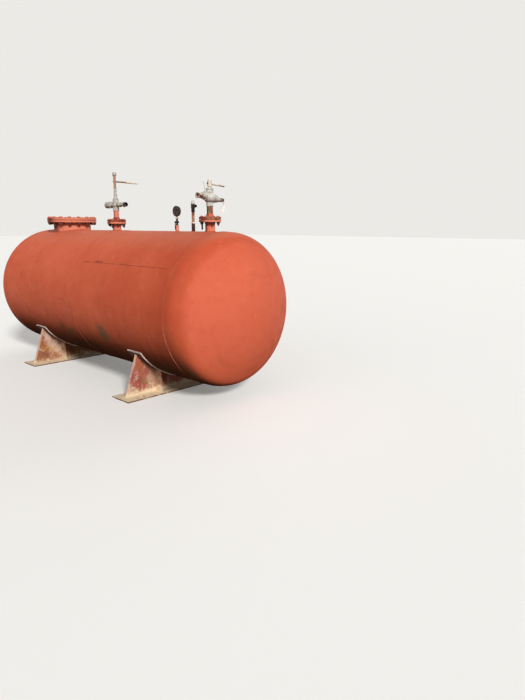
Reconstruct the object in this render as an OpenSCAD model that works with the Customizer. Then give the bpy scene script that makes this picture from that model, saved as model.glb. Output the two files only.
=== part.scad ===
// Horizontal pressure tank on two saddles, with a bolted manway, two flanged
// nozzles with valves, a pressure gauge and a small vent along the top.
// X runs along the tank towards the near head, Z is up and the floor is z = 0.

/* [Tank] */
// Outer diameter of the shell
tank_d = 1400; // [1000:10:1800]
// Length of one shell course, from girth weld to girth weld
course_len = 1550; // [1300:10:2000]
// Thickness of the shell and head plate
plate_t = 10; // [6:1:16]
// Straight edge of a dished head
head_straight = 54; // [20:1:80]
// Crown radius of a head, as a share of the diameter
crown_share = 0.8; // [0.75:0.01:1]
// Knuckle radius of a head, as a share of the diameter
knuckle_share = 0.154; // [0.1:0.002:0.18]
// Height of the shell's underside above the floor
under_h = 136; // [60:1:300]
// Width of a weld bead
bead_w = 16; // [8:1:24]
// Height of a weld bead above the plate
bead_h = 2.5; // [1:0.5:4]
// Angle of the near course's long seam above the horizontal
seam_near_deg = 35; // [10:1:60]
// Angle of the far course's long seam above the horizontal
seam_far_deg = 128; // [110:1:170]

/* [Saddles] */
// Centre of the far saddle, in from the far girth weld
saddle_far_in = 580; // [250:5:850]
// Centre of the near saddle, in from the near girth weld
saddle_near_in = 615; // [250:5:850]
// Arc that the wear plate wraps round the shell
wear_wrap_deg = 111; // [90:1:130]
// Width of the wear plate along the tank
wear_w = 218; // [160:2:300]
// Thickness of the wear plate
wear_t = 10; // [6:1:16]
// Angle below the horizontal of the web's horn tips
horn_deg = 37; // [30:0.5:45]
// Thickness of the web
web_t = 12; // [8:1:20]
// Foot corners of the web, in from the side of the tank
foot_in = 0; // [0:5:80]
// Reach of the base plate past the web's foot corners
base_out = 55; // [30:5:120]
// Width of the base plate along the tank
base_w = 270; // [200:5:340]
// Thickness of the base plate
base_t = 12; // [8:1:25]
// Distance of the ribs from the tank's middle plane
rib_y = 350; // [200:5:450]
// Thickness of a rib
rib_t = 10; // [6:1:16]
// Reach of a rib from the saddle's middle plane
rib_w = 100; // [60:2:108]
// Corner cut off a rib where web and base plate meet, clear of their weld
rib_snipe = 15; // [0:1:30]
// Spacing of the anchor holes along the tank
anchor_dx = 180; // [120:5:240]
// Anchor holes, in from the ends of the base plate
anchor_in = 205; // [60:5:260]
// Diameter of an anchor hole
anchor_d = 24; // [14:1:32]

/* [Manway] */
// Centre of the manway, in from the far girth weld
manway_in = 393; // [330:1:640]
// Outer diameter of the manway neck
manway_neck_d = 426; // [380:2:460]
// Wall of the manway neck
manway_wall = 10; // [6:1:14]
// Reach of the manway flange and cover past the neck
manway_flange_w = 69.5; // [60:0.5:90]
// Underside of the manway flange above the shell's crown
manway_rise = 86; // [70:1:160]
// Thickness of the manway flange
manway_flange_t = 25; // [20:1:40]
// Thickness of the manway cover
manway_cover_t = 25; // [20:1:45]
// Bolt circle of the manway, in from the flange's rim
manway_pcd_in = 25; // [20:1:30]
// Number of manway bolts
manway_bolts = 16; // [8:4:20]
// Diameter of a manway bolt hole
manway_hole_d = 26; // [18:1:28]
// Thickness of the flat gaskets
gasket_t = 3; // [1:0.5:5]

/* [Nozzle flanges] */
// Reach of a nozzle flange past its neck
flange_w = 55.5; // [50:0.5:65]
// Bolt circle of the nozzle flanges, in from the rim
pcd_in = 20; // [18:1:23]
// Number of bolts in a nozzle flange
rim_bolts = 8; // [4:4:8]
// Diameter of a bolt hole in the nozzle flanges
rim_hole_d = 18; // [14:1:20]
// Outer diameter of a nozzle neck
neck_d = 89; // [76:1:100]
// Wall of a nozzle neck
neck_wall = 6; // [3:0.5:10]
// Thickness of a nozzle flange
flange_t = 20; // [16:1:30]
// Outer diameter of the pipe between a flange and its valve
riser_d = 56; // [48:1:62]
// Wall of that pipe
riser_wall = 5; // [3:0.5:8]
// Height of the tapered hub on the flange below a valve
hub_h = 26; // [15:1:30]

/* [Far valve] */
// Centre of the far nozzle, back from the middle weld
far_x = 168; // [100:2:400]
// Underside of the far nozzle's flange above the shell's crown
far_rise = 70; // [50:1:110]
// Underside of the valve body above the shell's crown
far_seat = 206; // [200:1:215]
// Height of the valve's branches above the shell's crown
far_branch_z = 271; // [255:1:300]
// Radius of the valve's round belly
far_belly_r = 40; // [38:1:50]
// Reach of the capped branch from the valve's middle
far_cap_reach = 186; // [150:2:220]
// Reach of the body's arm towards the near valve
far_arm = 168; // [150:2:176]
// Reach of the open socket on that arm
far_reach = 200; // [190:2:240]
// Outer diameter of the branches
far_branch_d = 42; // [36:1:48]
// Bore of the open branch's socket
far_mouth_d = 34; // [32:1:35]
// Top of the valve's tapered neck above the shell's crown
far_neck_z = 363; // [350:1:400]
// Top of the gland tube above the shell's crown
far_gland_z = 441; // [420:1:480]
// Diameter of the spindle post
far_post_d = 27; // [20:1:32]
// Top of the spindle post above the shell's crown
far_post_z = 610; // [560:5:700]
// Height of the bar above the shell's crown
far_bar_z = 513; // [480:1:540]
// Diameter of the bar
far_bar_d = 16; // [10:1:18]
// Reach of the bar from the spindle
far_bar_len = 295; // [200:5:400]

/* [Near valve] */
// Centre of the near nozzle, in from the near girth weld
near_in = 175; // [120:5:220]
// Underside of the near nozzle's flange above the shell's crown
near_rise = 84; // [60:1:120]
// Underside of the valve body above the shell's crown
near_seat = 222; // [216:1:232]
// Height of the open branch above the shell's crown
near_open_z = 312; // [304:1:316]
// Height of the plugged branch above the shell's crown
near_plug_z = 282; // [274:1:296]
// Radius of the valve's round belly
near_belly_r = 52; // [48:1:54]
// Reach of the open branch from the valve's middle
near_reach = 150; // [130:2:200]
// Reach of the plugged branch from the valve's middle
near_plug_reach = 164; // [140:2:200]
// Outer diameter of the open branch
near_branch_d = 44; // [36:1:48]
// Bore of the open branch
near_bore_d = 30; // [20:1:34]
// Underside of the bonnet above the shell's crown
near_bonnet_z = 342; // [340:1:360]
// Top of the bonnet's gland above the shell's crown
near_gland_z = 388; // [380:1:400]
// Top of the spindle above the shell's crown
near_top_z = 463; // [450:1:500]
// Diameter of the spindle
near_spindle_d = 28; // [20:1:32]
// Length of the handle from the spindle
near_handle_len = 182; // [120:2:220]
// Droop of the handle below the horizontal
near_handle_deg = 6; // [0:1:12]

/* [Gauge and vent] */
// Centre of the gauge, in from the near girth weld
gauge_in = 655; // [520:5:900]
// Height of the dial's centre above the shell's crown
gauge_z = 187; // [180:1:220]
// Diameter of the gauge case
gauge_d = 100; // [63:1:110]
// Depth of the gauge case
gauge_depth = 25; // [20:1:45]
// Outer diameter of the stub under the gauge
gauge_stub_d = 34; // [26:1:42]
// Top of the stub above the shell's crown
gauge_stub_top = 55; // [40:1:70]
// Top of the gauge's cock above the shell's crown
gauge_cock_top = 115; // [100:1:120]
// Centre of the vent, in from the near girth weld
vent_in = 412; // [370:1:470]
// Top of the vent's cap above the shell's crown
vent_top_z = 280; // [270:1:320]
// Outer diameter of the vent pipe
vent_pipe_d = 27; // [20:1:30]
// Top of the sleeve that the pipe screws into, above the shell's crown
vent_sleeve_top = 72; // [50:1:90]
// Underside of the vent's body above the shell's crown
vent_body_z = 176; // [150:1:200]

/* [Hidden] */
$fn = 96;
// Gap round a welded neck in its hole, and between pieces that bolt together
weld_gap = 0.2;
// Running clearance of a spindle in its gland, on the radius
run_gap = 0.05;
// Free space under the end of a spindle
end_gap = 1;
// How far a pipe enters the socket of the piece it is screwed into
screw_in = 14;
// How far a cutting solid runs past the face it opens
over = 5;
tank_r = tank_d / 2;
half_len = course_len;
manway_rim_d = manway_neck_d + 2 * manway_flange_w;
manway_pcd = manway_rim_d - 2 * manway_pcd_in;
rim_d = neck_d + 2 * flange_w;
rim_pcd = rim_d - 2 * pcd_in;
axis_h = under_h + tank_r;
crown_z = axis_h + tank_r;
manway_x = half_len - manway_in;
near_x = half_len - near_in;
gauge_x = half_len - gauge_in;
vent_x = half_len - vent_in;
saddle_far_x = half_len - saddle_far_in;
saddle_near_x = half_len - saddle_near_in;
web_foot_half = tank_r - foot_in;
base_half = web_foot_half + base_out;
anchor_dy = 2 * (base_half - anchor_in);
crown_r = crown_share * tank_d;
knuckle_r = knuckle_share * tank_d;
knuckle_x = tank_r - knuckle_r;
head_rise = crown_r - sqrt(pow(crown_r - knuckle_r, 2) - pow(knuckle_x, 2));
bead_r = (bead_w * bead_w / 4 + bead_h * bead_h) / (2 * bead_h);
wear_r = tank_r + wear_t;
neck_dip = 25;
manway_top = crown_z + manway_rise + manway_flange_t;
cover_z = manway_top + gasket_t;
far_flange_z = crown_z + far_rise;
near_flange_z = crown_z + near_rise;
near_upper_t = flange_t + 3;
far_upper_z = far_flange_z + flange_t + gasket_t;
near_upper_z = near_flange_z + flange_t + gasket_t;
hub_r = riser_d / 2 + 12;
socket_wall = 4.5;
far_stub = 84;
collar_t = 12;
far_port_r = far_branch_d / 2 - 6;
far_pin_d = far_post_d - 9;
far_pin_len = 55;
near_stub = 92;
near_plug_stub = 120;
near_plug_r = 15;
near_port_r = near_bore_d / 2 - 3;
near_bonnet_r = 34;
bezel_w = 5;
bezel_depth = 8;
dial_inset = 7;
dial_t = 1.5;
vent_cap_h = 30;
vent_sleeve_d = vent_pipe_d + 6;
red = [0.72, 0.30, 0.21];
worn_red = [0.66, 0.38, 0.31];
rust = [0.42, 0.24, 0.16];
grey = [0.74, 0.74, 0.70];
dark = [0.13, 0.12, 0.12];

// A solid bar lying along X from x0 to x1
module along_x(x0, x1, r) {
    translate([x0, 0, 0])
        rotate([0, 90, 0])
            cylinder(r = r, h = x1 - x0);
}

// A solid bar lying along Y from y0 to y1
module along_y(y0, y1, r) {
    translate([0, y0, 0])
        rotate([-90, 0, 0])
            cylinder(r = r, h = y1 - y0);
}

// A ring standing on z = 0
module ring(r_out, r_in, h) {
    difference() {
        cylinder(r = r_out, h = h);
        translate([0, 0, -over])
            cylinder(r = r_in, h = h + 2 * over);
    }
}

// Holes on a bolt circle, half a step off the X axis
module bolt_holes(count, pcd, d, h) {
    for (i = [0 : count - 1])
        rotate([0, 0, (i + 0.5) * 360 / count])
            translate([pcd / 2, 0, -over])
                cylinder(d = d, h = h + 2 * over, $fn = 32);
}

// A drilled flange with a plain bore
module drilled_flange(d, bore_d, t, count, pcd, hole_d) {
    difference() {
        cylinder(d = d, h = t);
        translate([0, 0, -over])
            cylinder(d = bore_d, h = t + 2 * over);
        bolt_holes(count, pcd, hole_d, t);
    }
}

// Outline of a dished head's outer face, or its inner face when inset by the
// plate: crown arc, knuckle arc and straight edge
module head_outline(inset) {
    reach = 2 * crown_r;
    lean = atan2(knuckle_x, crown_r - head_rise);
    intersection() {
        translate([0, -head_straight - inset])
            square([tank_d, reach]);
        union() {
            intersection() {
                translate([0, head_rise - crown_r])
                    circle(r = crown_r - inset, $fn = 240);
                translate([0, head_rise - crown_r])
                    polygon([[0, 0], [reach * sin(lean), reach * cos(lean)], [0, reach]]);
            }
            translate([knuckle_x, 0])
                circle(r = knuckle_r - inset, $fn = 120);
            translate([0, -head_straight - inset])
                square([tank_r - inset, head_straight + inset]);
        }
    }
}

// Bead of a girth weld, lying on the plate, centred on x
module girth_bead(x) {
    translate([x, 0, 0])
        rotate([0, 90, 0])
            rotate_extrude($fn = 180)
                difference() {
                    translate([tank_r + bead_h - bead_r, 0])
                        circle(r = bead_r, $fn = 48);
                    translate([0, -tank_r])
                        square([tank_r, tank_d]);
                }
}

// Bead of a long seam between x0 and x1
module long_bead(x0, x1, deg) {
    rotate([deg, 0, 0])
        translate([x0, -tank_r - bead_h + bead_r, 0])
            rotate([0, 90, 0])
                cylinder(r = bead_r, h = x1 - x0, $fn = 48);
}

// One rolled shell course from x0 to x1, not yet cut for its fittings
module course(x0, x1, seam_deg) {
    difference() {
        union() {
            along_x(x0, x1, tank_r, $fn = 180);
            long_bead(x0 + bead_w, x1 - bead_w, -seam_deg);
        }
        along_x(x0 - over, x1 + over, tank_r - plate_t, $fn = 180);
    }
}

// Hole through the crown of the shell for a neck of diameter d
module crown_hole(x, d) {
    translate([x, 0, 0])
        cylinder(r = d / 2 + weld_gap, h = 2 * tank_r);
}

module shell_far() {
    color(red)
        translate([0, 0, axis_h])
            difference() {
                course(-half_len, 0, seam_far_deg);
                crown_hole(-manway_x, manway_neck_d);
                crown_hole(-far_x, neck_d);
            }
}

module shell_near() {
    color(red)
        translate([0, 0, axis_h])
            difference() {
                union() {
                    course(0, half_len, seam_near_deg);
                    girth_bead(0);
                }
                crown_hole(near_x, neck_d);
                crown_hole(gauge_x, gauge_stub_d);
                crown_hole(vent_x, vent_sleeve_d);
            }
}

// A dished head facing +X, with the bead that joins it to the shell
module head() {
    color(red) {
        translate([half_len, 0, axis_h])
            rotate([0, 90, 0])
                translate([0, 0, head_straight])
                    rotate_extrude($fn = 180)
                        difference() {
                            head_outline(0);
                            head_outline(plate_t);
                        }
        translate([0, 0, axis_h])
            girth_bead(half_len);
    }
}

module head_near() {
    head();
}

module head_far() {
    mirror([1, 0, 0])
        head();
}

// A neck set through the shell, from below the plate to z1
module neck(x, d, wall, z1) {
    z0 = axis_h + sqrt(pow(tank_r - plate_t, 2) - pow(d / 2, 2)) - neck_dip;
    translate([x, 0, z0])
        ring(d / 2, d / 2 - wall, z1 - z0);
}

module manway_neck() {
    color(red)
        neck(-manway_x, manway_neck_d, manway_wall, manway_top - over);
}

module manway_flange() {
    color(red)
        translate([-manway_x, 0, crown_z + manway_rise])
            drilled_flange(manway_rim_d, manway_neck_d + 2 * weld_gap, manway_flange_t,
                manway_bolts, manway_pcd, manway_hole_d);
}

module manway_gasket() {
    color(dark)
        translate([-manway_x, 0, manway_top])
            ring(manway_pcd / 2 - manway_hole_d / 2 - 2, manway_neck_d / 2, gasket_t);
}

// Blind cover with a turned edge on its rim
module manway_cover() {
    edge = 3;
    color(red)
        translate([-manway_x, 0, cover_z])
            difference() {
                union() {
                    cylinder(d = manway_rim_d, h = manway_cover_t - edge);
                    translate([0, 0, manway_cover_t - edge])
                        cylinder(d1 = manway_rim_d, d2 = manway_rim_d - 2 * edge, h = edge);
                }
                bolt_holes(manway_bolts, manway_pcd, manway_hole_d, manway_cover_t);
            }
}

// Lower flange of a nozzle, slipped over its neck
module nozzle_flange() {
    drilled_flange(rim_d, neck_d + 2 * weld_gap, flange_t, rim_bolts, rim_pcd, rim_hole_d);
}

module nozzle_gasket() {
    ring(rim_pcd / 2 - rim_hole_d / 2 - 1, neck_d / 2, gasket_t);
}

// Upper flange with a tapered hub round the riser pipe
module valve_flange(t) {
    difference() {
        union() {
            cylinder(d = rim_d, h = t);
            translate([0, 0, t])
                cylinder(r1 = hub_r, r2 = riser_d / 2 + 3, h = hub_h);
        }
        translate([0, 0, -over])
            cylinder(r = riser_d / 2 + weld_gap, h = t + hub_h + 2 * over);
        bolt_holes(rim_bolts, rim_pcd, rim_hole_d, t);
    }
}

// Riser pipe from just above a gasket into the valve's socket
module riser(z0, z1) {
    translate([0, 0, z0])
        ring(riser_d / 2, riser_d / 2 - riser_wall, z1 - z0);
}

module far_nozzle_neck() {
    color(red)
        neck(-far_x, neck_d, neck_wall, far_upper_z - gasket_t - 3);
}

module far_nozzle_flange() {
    color(red)
        translate([-far_x, 0, far_flange_z])
            nozzle_flange();
}

module far_nozzle_gasket() {
    color(dark)
        translate([-far_x, 0, far_upper_z - gasket_t])
            nozzle_gasket();
}

module far_valve_flange() {
    color(red)
        translate([-far_x, 0, far_upper_z])
            valve_flange(flange_t);
}

module far_valve_riser() {
    color(red)
        translate([-far_x, 0, 0])
            riser(far_upper_z + 2, crown_z + far_seat + screw_in);
}

// Cast body with a belly, a tapered neck and two branches along the tank
module far_valve_body() {
    socket_r = riser_d / 2 + socket_wall;
    neck_h = far_neck_z - far_branch_z;
    waist_r = far_post_d / 2 + 3;
    shoulder_r = far_belly_r * 0.72;
    color(grey)
        translate([-far_x, 0, crown_z])
            difference() {
                union() {
                    translate([0, 0, far_seat])
                        cylinder(r = socket_r, h = far_branch_z - far_seat);
                    translate([0, 0, far_seat])
                        rotate([0, 0, 22.5])
                            cylinder(r = socket_r + 3, h = screw_in, $fn = 8);
                    translate([0, 0, far_branch_z])
                        sphere(r = far_belly_r);
                    translate([0, 0, far_branch_z])
                        cylinder(r1 = far_belly_r * 0.92, r2 = shoulder_r, h = neck_h * 0.65);
                    translate([0, 0, far_branch_z + neck_h * 0.65])
                        cylinder(r1 = shoulder_r, r2 = waist_r, h = neck_h * 0.25);
                    translate([0, 0, far_branch_z])
                        cylinder(r = waist_r, h = neck_h);
                    translate([0, 0, far_branch_z])
                        along_x(-far_stub, far_arm, far_branch_d / 2);
                    for (x = [-far_stub, far_stub, far_arm - collar_t / 2])
                        translate([0, 0, far_branch_z])
                            along_x(x - collar_t / 2, x + collar_t / 2, far_branch_d / 2 + 5);
                }
                translate([0, 0, far_seat - over])
                    cylinder(r = riser_d / 2 + weld_gap, h = screw_in + over);
                translate([0, 0, far_seat])
                    cylinder(r = far_port_r, h = far_branch_z - far_seat);
                translate([0, 0, far_branch_z])
                    along_x(-far_stub - 2 * over, far_arm + over, far_port_r);
            }
}

// Gland tube with a hexagonal nut at its foot
module far_valve_bonnet() {
    tube_r = far_post_d / 2 + 1;
    pin_r = far_pin_d / 2;
    color(grey)
        translate([-far_x, 0, crown_z + far_neck_z])
            difference() {
                union() {
                    cylinder(r = tube_r + 4, h = 20, $fn = 6);
                    cylinder(r = tube_r, h = far_gland_z - far_neck_z);
                }
                translate([0, 0, far_gland_z - far_neck_z - far_pin_len - end_gap])
                    cylinder(r = pin_r + run_gap, h = far_pin_len + end_gap + over);
            }
}

// Post on the spindle, with a cap nut on top and a cross hole for the bar
module far_valve_spindle() {
    cap_h = 40;
    cap_d = far_post_d + 17;
    color(rust)
        translate([-far_x, 0, crown_z])
            difference() {
                union() {
                    translate([0, 0, far_gland_z - far_pin_len])
                        cylinder(d = far_pin_d, h = far_pin_len + over);
                    translate([0, 0, far_gland_z + end_gap])
                        cylinder(d = far_post_d, h = far_post_z - far_gland_z - end_gap - cap_h);
                    translate([0, 0, far_post_z - cap_h])
                        cylinder(d1 = far_post_d + 5, d2 = cap_d, h = 10);
                    translate([0, 0, far_post_z - cap_h + 10])
                        cylinder(d = cap_d, h = cap_h - 16);
                    translate([0, 0, far_post_z - 6])
                        cylinder(d1 = cap_d, d2 = cap_d - 12, h = 6);
                }
                translate([0, 0, far_bar_z])
                    along_y(-far_post_d, far_post_d, far_bar_d / 2 + run_gap);
            }
}

// Bar through the post, with a thicker grip towards its end
module far_valve_bar() {
    grip_r = far_bar_d / 2 + 3;
    color(rust)
        translate([-far_x, 0, crown_z + far_bar_z]) {
            along_y(-far_post_d / 2 - 4, far_bar_len - grip_r, far_bar_d / 2);
            along_y(far_bar_len * 0.48, far_bar_len - grip_r, grip_r);
            translate([0, far_bar_len - grip_r, 0])
                sphere(r = grip_r);
        }
}

// Round cap that closes the branch towards the manway
module far_branch_cap() {
    cap_r = far_branch_d / 2 + 14;
    round_r = 14;
    foot = far_stub + collar_t / 2;
    color(grey)
        translate([-far_x, 0, crown_z + far_branch_z])
            rotate([0, -90, 0])
                rotate_extrude() {
                    translate([0, foot])
                        square([cap_r, far_cap_reach - foot - round_r]);
                    translate([0, foot])
                        square([cap_r - round_r, far_cap_reach - foot]);
                    translate([cap_r - round_r, far_cap_reach - round_r])
                        circle(r = round_r);
                }
}

// Open threaded socket on the branch towards the near nozzle
module far_branch_socket() {
    lip = far_branch_d / 2 + 2;
    color(dark)
        translate([-far_x, 0, crown_z + far_branch_z])
            difference() {
                union() {
                    along_x(far_arm, far_reach, far_branch_d / 2);
                    along_x(far_arm + collar_t, far_reach, lip);
                }
                along_x(far_arm - over, far_reach + over, far_mouth_d / 2);
            }
}

module near_nozzle_neck() {
    color(red)
        neck(near_x, neck_d, neck_wall, near_upper_z - gasket_t - 3);
}

module near_nozzle_flange() {
    color(red)
        translate([near_x, 0, near_flange_z])
            nozzle_flange();
}

module near_nozzle_gasket() {
    color(dark)
        translate([near_x, 0, near_upper_z - gasket_t])
            nozzle_gasket();
}

module near_valve_flange() {
    color(rust)
        translate([near_x, 0, near_upper_z])
            valve_flange(near_upper_t);
}

module near_valve_riser() {
    color(rust)
        translate([near_x, 0, 0])
            riser(near_upper_z + 2, crown_z + near_seat + screw_in);
}

// Cast body with a belly, an open branch towards the front and a tapered one
// towards the back
module near_valve_body() {
    socket_r = riser_d / 2 + socket_wall;
    belly_z = (near_open_z + near_plug_z) / 2;
    plug_tilt = 8;
    plug_lap = 4;
    color(grey)
        translate([near_x, 0, crown_z])
            difference() {
                union() {
                    translate([0, 0, near_seat])
                        cylinder(r = socket_r, h = belly_z - near_seat);
                    translate([0, 0, near_seat])
                        rotate([0, 0, 22.5])
                            cylinder(r = socket_r + 3, h = screw_in, $fn = 8);
                    translate([0, 0, belly_z])
                        sphere(r = near_belly_r);
                    translate([0, 0, belly_z])
                        cylinder(r1 = near_belly_r * 0.94, r2 = near_bonnet_r - 3,
                            h = near_bonnet_z - belly_z);
                    translate([0, 0, near_open_z])
                        along_y(-near_stub, 0, near_branch_d / 2 + 6);
                    translate([0, 0, near_open_z])
                        along_y(-near_belly_r - 12, -near_belly_r, near_branch_d / 2 + 17);
                    translate([0, near_plug_stub + plug_lap, near_plug_z])
                        rotate([90 - plug_tilt, 0, 0])
                            cylinder(r1 = near_plug_r + 2, r2 = near_belly_r * 0.92,
                                h = near_plug_stub - near_belly_r * 0.3);
                }
                translate([0, 0, near_plug_z])
                    along_y(near_plug_stub, near_plug_stub + 5 * plug_lap, near_plug_r * 2);
                translate([0, 0, near_seat - over])
                    cylinder(r = riser_d / 2 + weld_gap, h = screw_in + over);
                translate([0, 0, near_bonnet_z])
                    cylinder(r = near_bonnet_r + 4, h = near_belly_r);
                translate([0, 0, near_seat])
                    cylinder(r = near_port_r, h = near_open_z - near_seat);
                translate([0, 0, near_open_z])
                    along_y(-near_stub - over, 0, near_port_r);
                translate([0, 0, near_open_z])
                    along_y(-near_stub - over, -near_stub + screw_in,
                        near_branch_d / 2 + weld_gap);
            }
}

// Bonnet with two thin rims and a hexagonal gland nut
module near_valve_bonnet() {
    rim_h = 9;
    body_h = 34;
    color(grey)
        translate([near_x, 0, crown_z + near_bonnet_z])
            difference() {
                union() {
                    cylinder(r = near_bonnet_r, h = rim_h);
                    cylinder(r = near_bonnet_r - 4, h = body_h);
                    translate([0, 0, body_h - rim_h])
                        cylinder(r = near_bonnet_r, h = rim_h);
                    cylinder(r = 22, h = near_gland_z - near_bonnet_z, $fn = 6);
                }
                translate([0, 0, rim_h])
                    cylinder(r = near_spindle_d / 2 + run_gap,
                        h = near_gland_z - near_bonnet_z + over);
            }
}

module near_valve_spindle() {
    dome = near_spindle_d / 2;
    color(grey)
        translate([near_x, 0, crown_z + near_bonnet_z + 9 + end_gap]) {
            cylinder(d = near_spindle_d, h = near_top_z - near_bonnet_z - 9 - end_gap - dome);
            translate([0, 0, near_top_z - near_bonnet_z - 9 - end_gap - dome])
                sphere(r = dome);
        }
}

// Hub clamped on the spindle, with a drooping rod that ends in a small ball
module near_valve_handle() {
    hub_len = 56;
    hub_z = near_top_z - near_spindle_d / 2 - hub_len;
    rod_z = hub_z + hub_len / 2;
    color(grey)
        translate([near_x, 0, crown_z])
            difference() {
                union() {
                    translate([0, 0, hub_z])
                        cylinder(r = near_spindle_d / 2 + 6, h = hub_len);
                    translate([0, 0, rod_z])
                        rotate([-near_handle_deg, 0, 0]) {
                            along_y(0, near_handle_len * 0.6, 9);
                            along_y(0, near_handle_len - 7, 6);
                            translate([0, near_handle_len - 7, 0])
                                sphere(r = 7);
                        }
                }
                translate([0, 0, near_bonnet_z])
                    cylinder(r = near_spindle_d / 2 + run_gap, h = near_top_z);
            }
}

// Short open pipe with a rim round its mouth
module near_branch_pipe() {
    color(grey)
        translate([near_x, 0, crown_z + near_open_z])
            difference() {
                union() {
                    along_y(-near_reach, -near_stub + screw_in, near_branch_d / 2);
                    along_y(-near_reach, -near_reach + 10, near_branch_d / 2 + 3);
                }
                along_y(-near_reach - over, -near_stub + screw_in + over, near_bore_d / 2);
            }
}

// Plug with a hexagonal collar that closes the branch towards the back
module near_branch_plug() {
    free = near_plug_reach - near_plug_stub;
    color(dark)
        translate([near_x, near_plug_stub, crown_z + near_plug_z])
            rotate([-90, 0, 0]) {
                cylinder(r = near_plug_r - 3, h = free);
                translate([0, 0, free * 0.25])
                    cylinder(r = near_plug_r + 5, h = free * 0.45, $fn = 6);
                translate([0, 0, free - 5])
                    cylinder(r = near_plug_r, h = 5);
            }
}

module gauge_stub() {
    z0 = tank_r - plate_t - neck_dip;
    color(red)
        translate([gauge_x, 0, axis_h + z0])
            ring(gauge_stub_d / 2, gauge_stub_d / 2 - 7, plate_t + neck_dip + gauge_stub_top);
}

// Plug cock with its cross plug and the small lever that hangs from it
module gauge_cock() {
    mid = (gauge_stub_top + gauge_cock_top) / 2;
    lever = gauge_cock_top - gauge_stub_top;
    color(dark)
        translate([gauge_x, 0, crown_z]) {
            translate([0, 0, gauge_stub_top])
                cylinder(r = 13, h = 12, $fn = 6);
            translate([0, 0, gauge_stub_top])
                cylinder(r = 10, h = lever);
            translate([0, 0, mid])
                sphere(r = 16);
            translate([0, 0, mid])
                along_y(-26, 18, 9);
            translate([-5, -26, mid - lever - 12])
                cube([10, 4, lever + 16]);
        }
}

// Round case with a bezel, facing the side, on a stem with a hexagonal nut
module gauge_case() {
    front = -gauge_depth / 2;
    case_r = gauge_d / 2 - 3;
    color(dark)
        translate([gauge_x, 0, crown_z]) {
            translate([0, 0, gauge_z])
                difference() {
                    union() {
                        along_y(front, front + bezel_depth, gauge_d / 2);
                        along_y(front + bezel_depth, front + gauge_depth, case_r);
                    }
                    along_y(front - over, front + dial_inset, gauge_d / 2 - bezel_w);
                }
            translate([0, 0, gauge_cock_top])
                difference() {
                    union() {
                        cylinder(r = 12, h = 16, $fn = 6);
                        cylinder(r = 7, h = gauge_z - gauge_cock_top);
                    }
                    translate([0, 0, gauge_z - gauge_cock_top])
                        along_y(-gauge_depth, gauge_depth, case_r - 1);
                }
        }
}

// Dial, seated on the floor of the case's recess
module gauge_dial() {
    seat = dial_inset - gauge_depth / 2;
    color("gainsboro")
        translate([gauge_x, 0, crown_z + gauge_z])
            along_y(seat - dial_t, seat, gauge_d / 2 - bezel_w - weld_gap);
}

module vent_sleeve() {
    z0 = tank_r - plate_t - neck_dip;
    color(dark)
        translate([vent_x, 0, axis_h + z0])
            ring(vent_sleeve_d / 2, vent_pipe_d / 2 + weld_gap, plate_t + neck_dip + vent_sleeve_top);
}

// Pipe with a lock ring where it leaves the sleeve
module vent_pipe() {
    color(rust)
        translate([vent_x, 0, crown_z])
            difference() {
                union() {
                    cylinder(d = vent_pipe_d, h = vent_body_z + screw_in);
                    translate([0, 0, vent_sleeve_top])
                        cylinder(r = vent_sleeve_d / 2 + 2, h = 7, $fn = 6);
                }
                translate([0, 0, -over])
                    cylinder(d = vent_pipe_d - 7, h = vent_body_z + screw_in + 2 * over);
            }
}

// Body with a side outlet towards the near end
module vent_body() {
    body_r = vent_pipe_d / 2 + 5;
    neck_r = vent_pipe_d / 2 + 3;
    cap_z = vent_top_z - vent_cap_h;
    color(dark)
        translate([vent_x, 0, crown_z])
            difference() {
                union() {
                    translate([0, 0, vent_body_z])
                        cylinder(r = neck_r, h = cap_z - vent_body_z);
                    translate([0, 0, cap_z - 40])
                        cylinder(r = body_r, h = 40);
                    translate([0, 0, cap_z - 20])
                        along_x(0, body_r + 26, 13);
                }
                translate([0, 0, vent_body_z - over])
                    cylinder(r = vent_pipe_d / 2 + weld_gap, h = screw_in + over);
                translate([0, 0, vent_body_z])
                    cylinder(d = vent_pipe_d - 7, h = cap_z - 20 - vent_body_z);
                translate([0, 0, cap_z - 20])
                    along_x(0, body_r + 26 + over, 8);
            }
}

// Domed cap
module vent_cap() {
    cap_r = vent_pipe_d / 2 + 4;
    color("lightsteelblue")
        translate([vent_x, 0, crown_z + vent_top_z - vent_cap_h]) {
            cylinder(r = cap_r, h = vent_cap_h - cap_r * 0.5);
            translate([0, 0, vent_cap_h - cap_r * 0.5])
                cylinder(r1 = cap_r, r2 = cap_r * 0.55, h = cap_r * 0.5);
        }
}

// Extrudes an outline drawn across the tank, from x0 along the tank
module across(x0, len) {
    translate([x0, 0, 0])
        rotate([90, 0, 90])
            linear_extrude(height = len)
                children();
}

// Curved plate between the shell and the saddle
module wear_plate(x) {
    half = wear_wrap_deg / 2;
    reach = 2 * tank_r;
    color(worn_red)
        across(x - wear_w / 2, wear_w)
            translate([0, axis_h])
                intersection() {
                    difference() {
                        circle(r = wear_r, $fn = 240);
                        circle(r = tank_r, $fn = 240);
                    }
                    polygon([[0, 0], [-reach * sin(half), -reach * cos(half)],
                        [0, -2 * reach], [reach * sin(half), -reach * cos(half)]]);
                }
}

// Upright plate that cradles the wear plate. Its outline runs past the horn
// tips, so the cut for the wear plate forms them.
module web(x) {
    past_tip = 1.1;
    tip_y = web_foot_half + past_tip * (wear_r * cos(horn_deg) - web_foot_half);
    tip_z = base_t + past_tip * (axis_h - wear_r * sin(horn_deg) - base_t);
    color(worn_red)
        across(x - web_t / 2, web_t)
            difference() {
                polygon([[-web_foot_half, base_t], [web_foot_half, base_t],
                    [tip_y, tip_z], [-tip_y, tip_z]]);
                translate([0, axis_h])
                    circle(r = wear_r, $fn = 240);
            }
}

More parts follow.
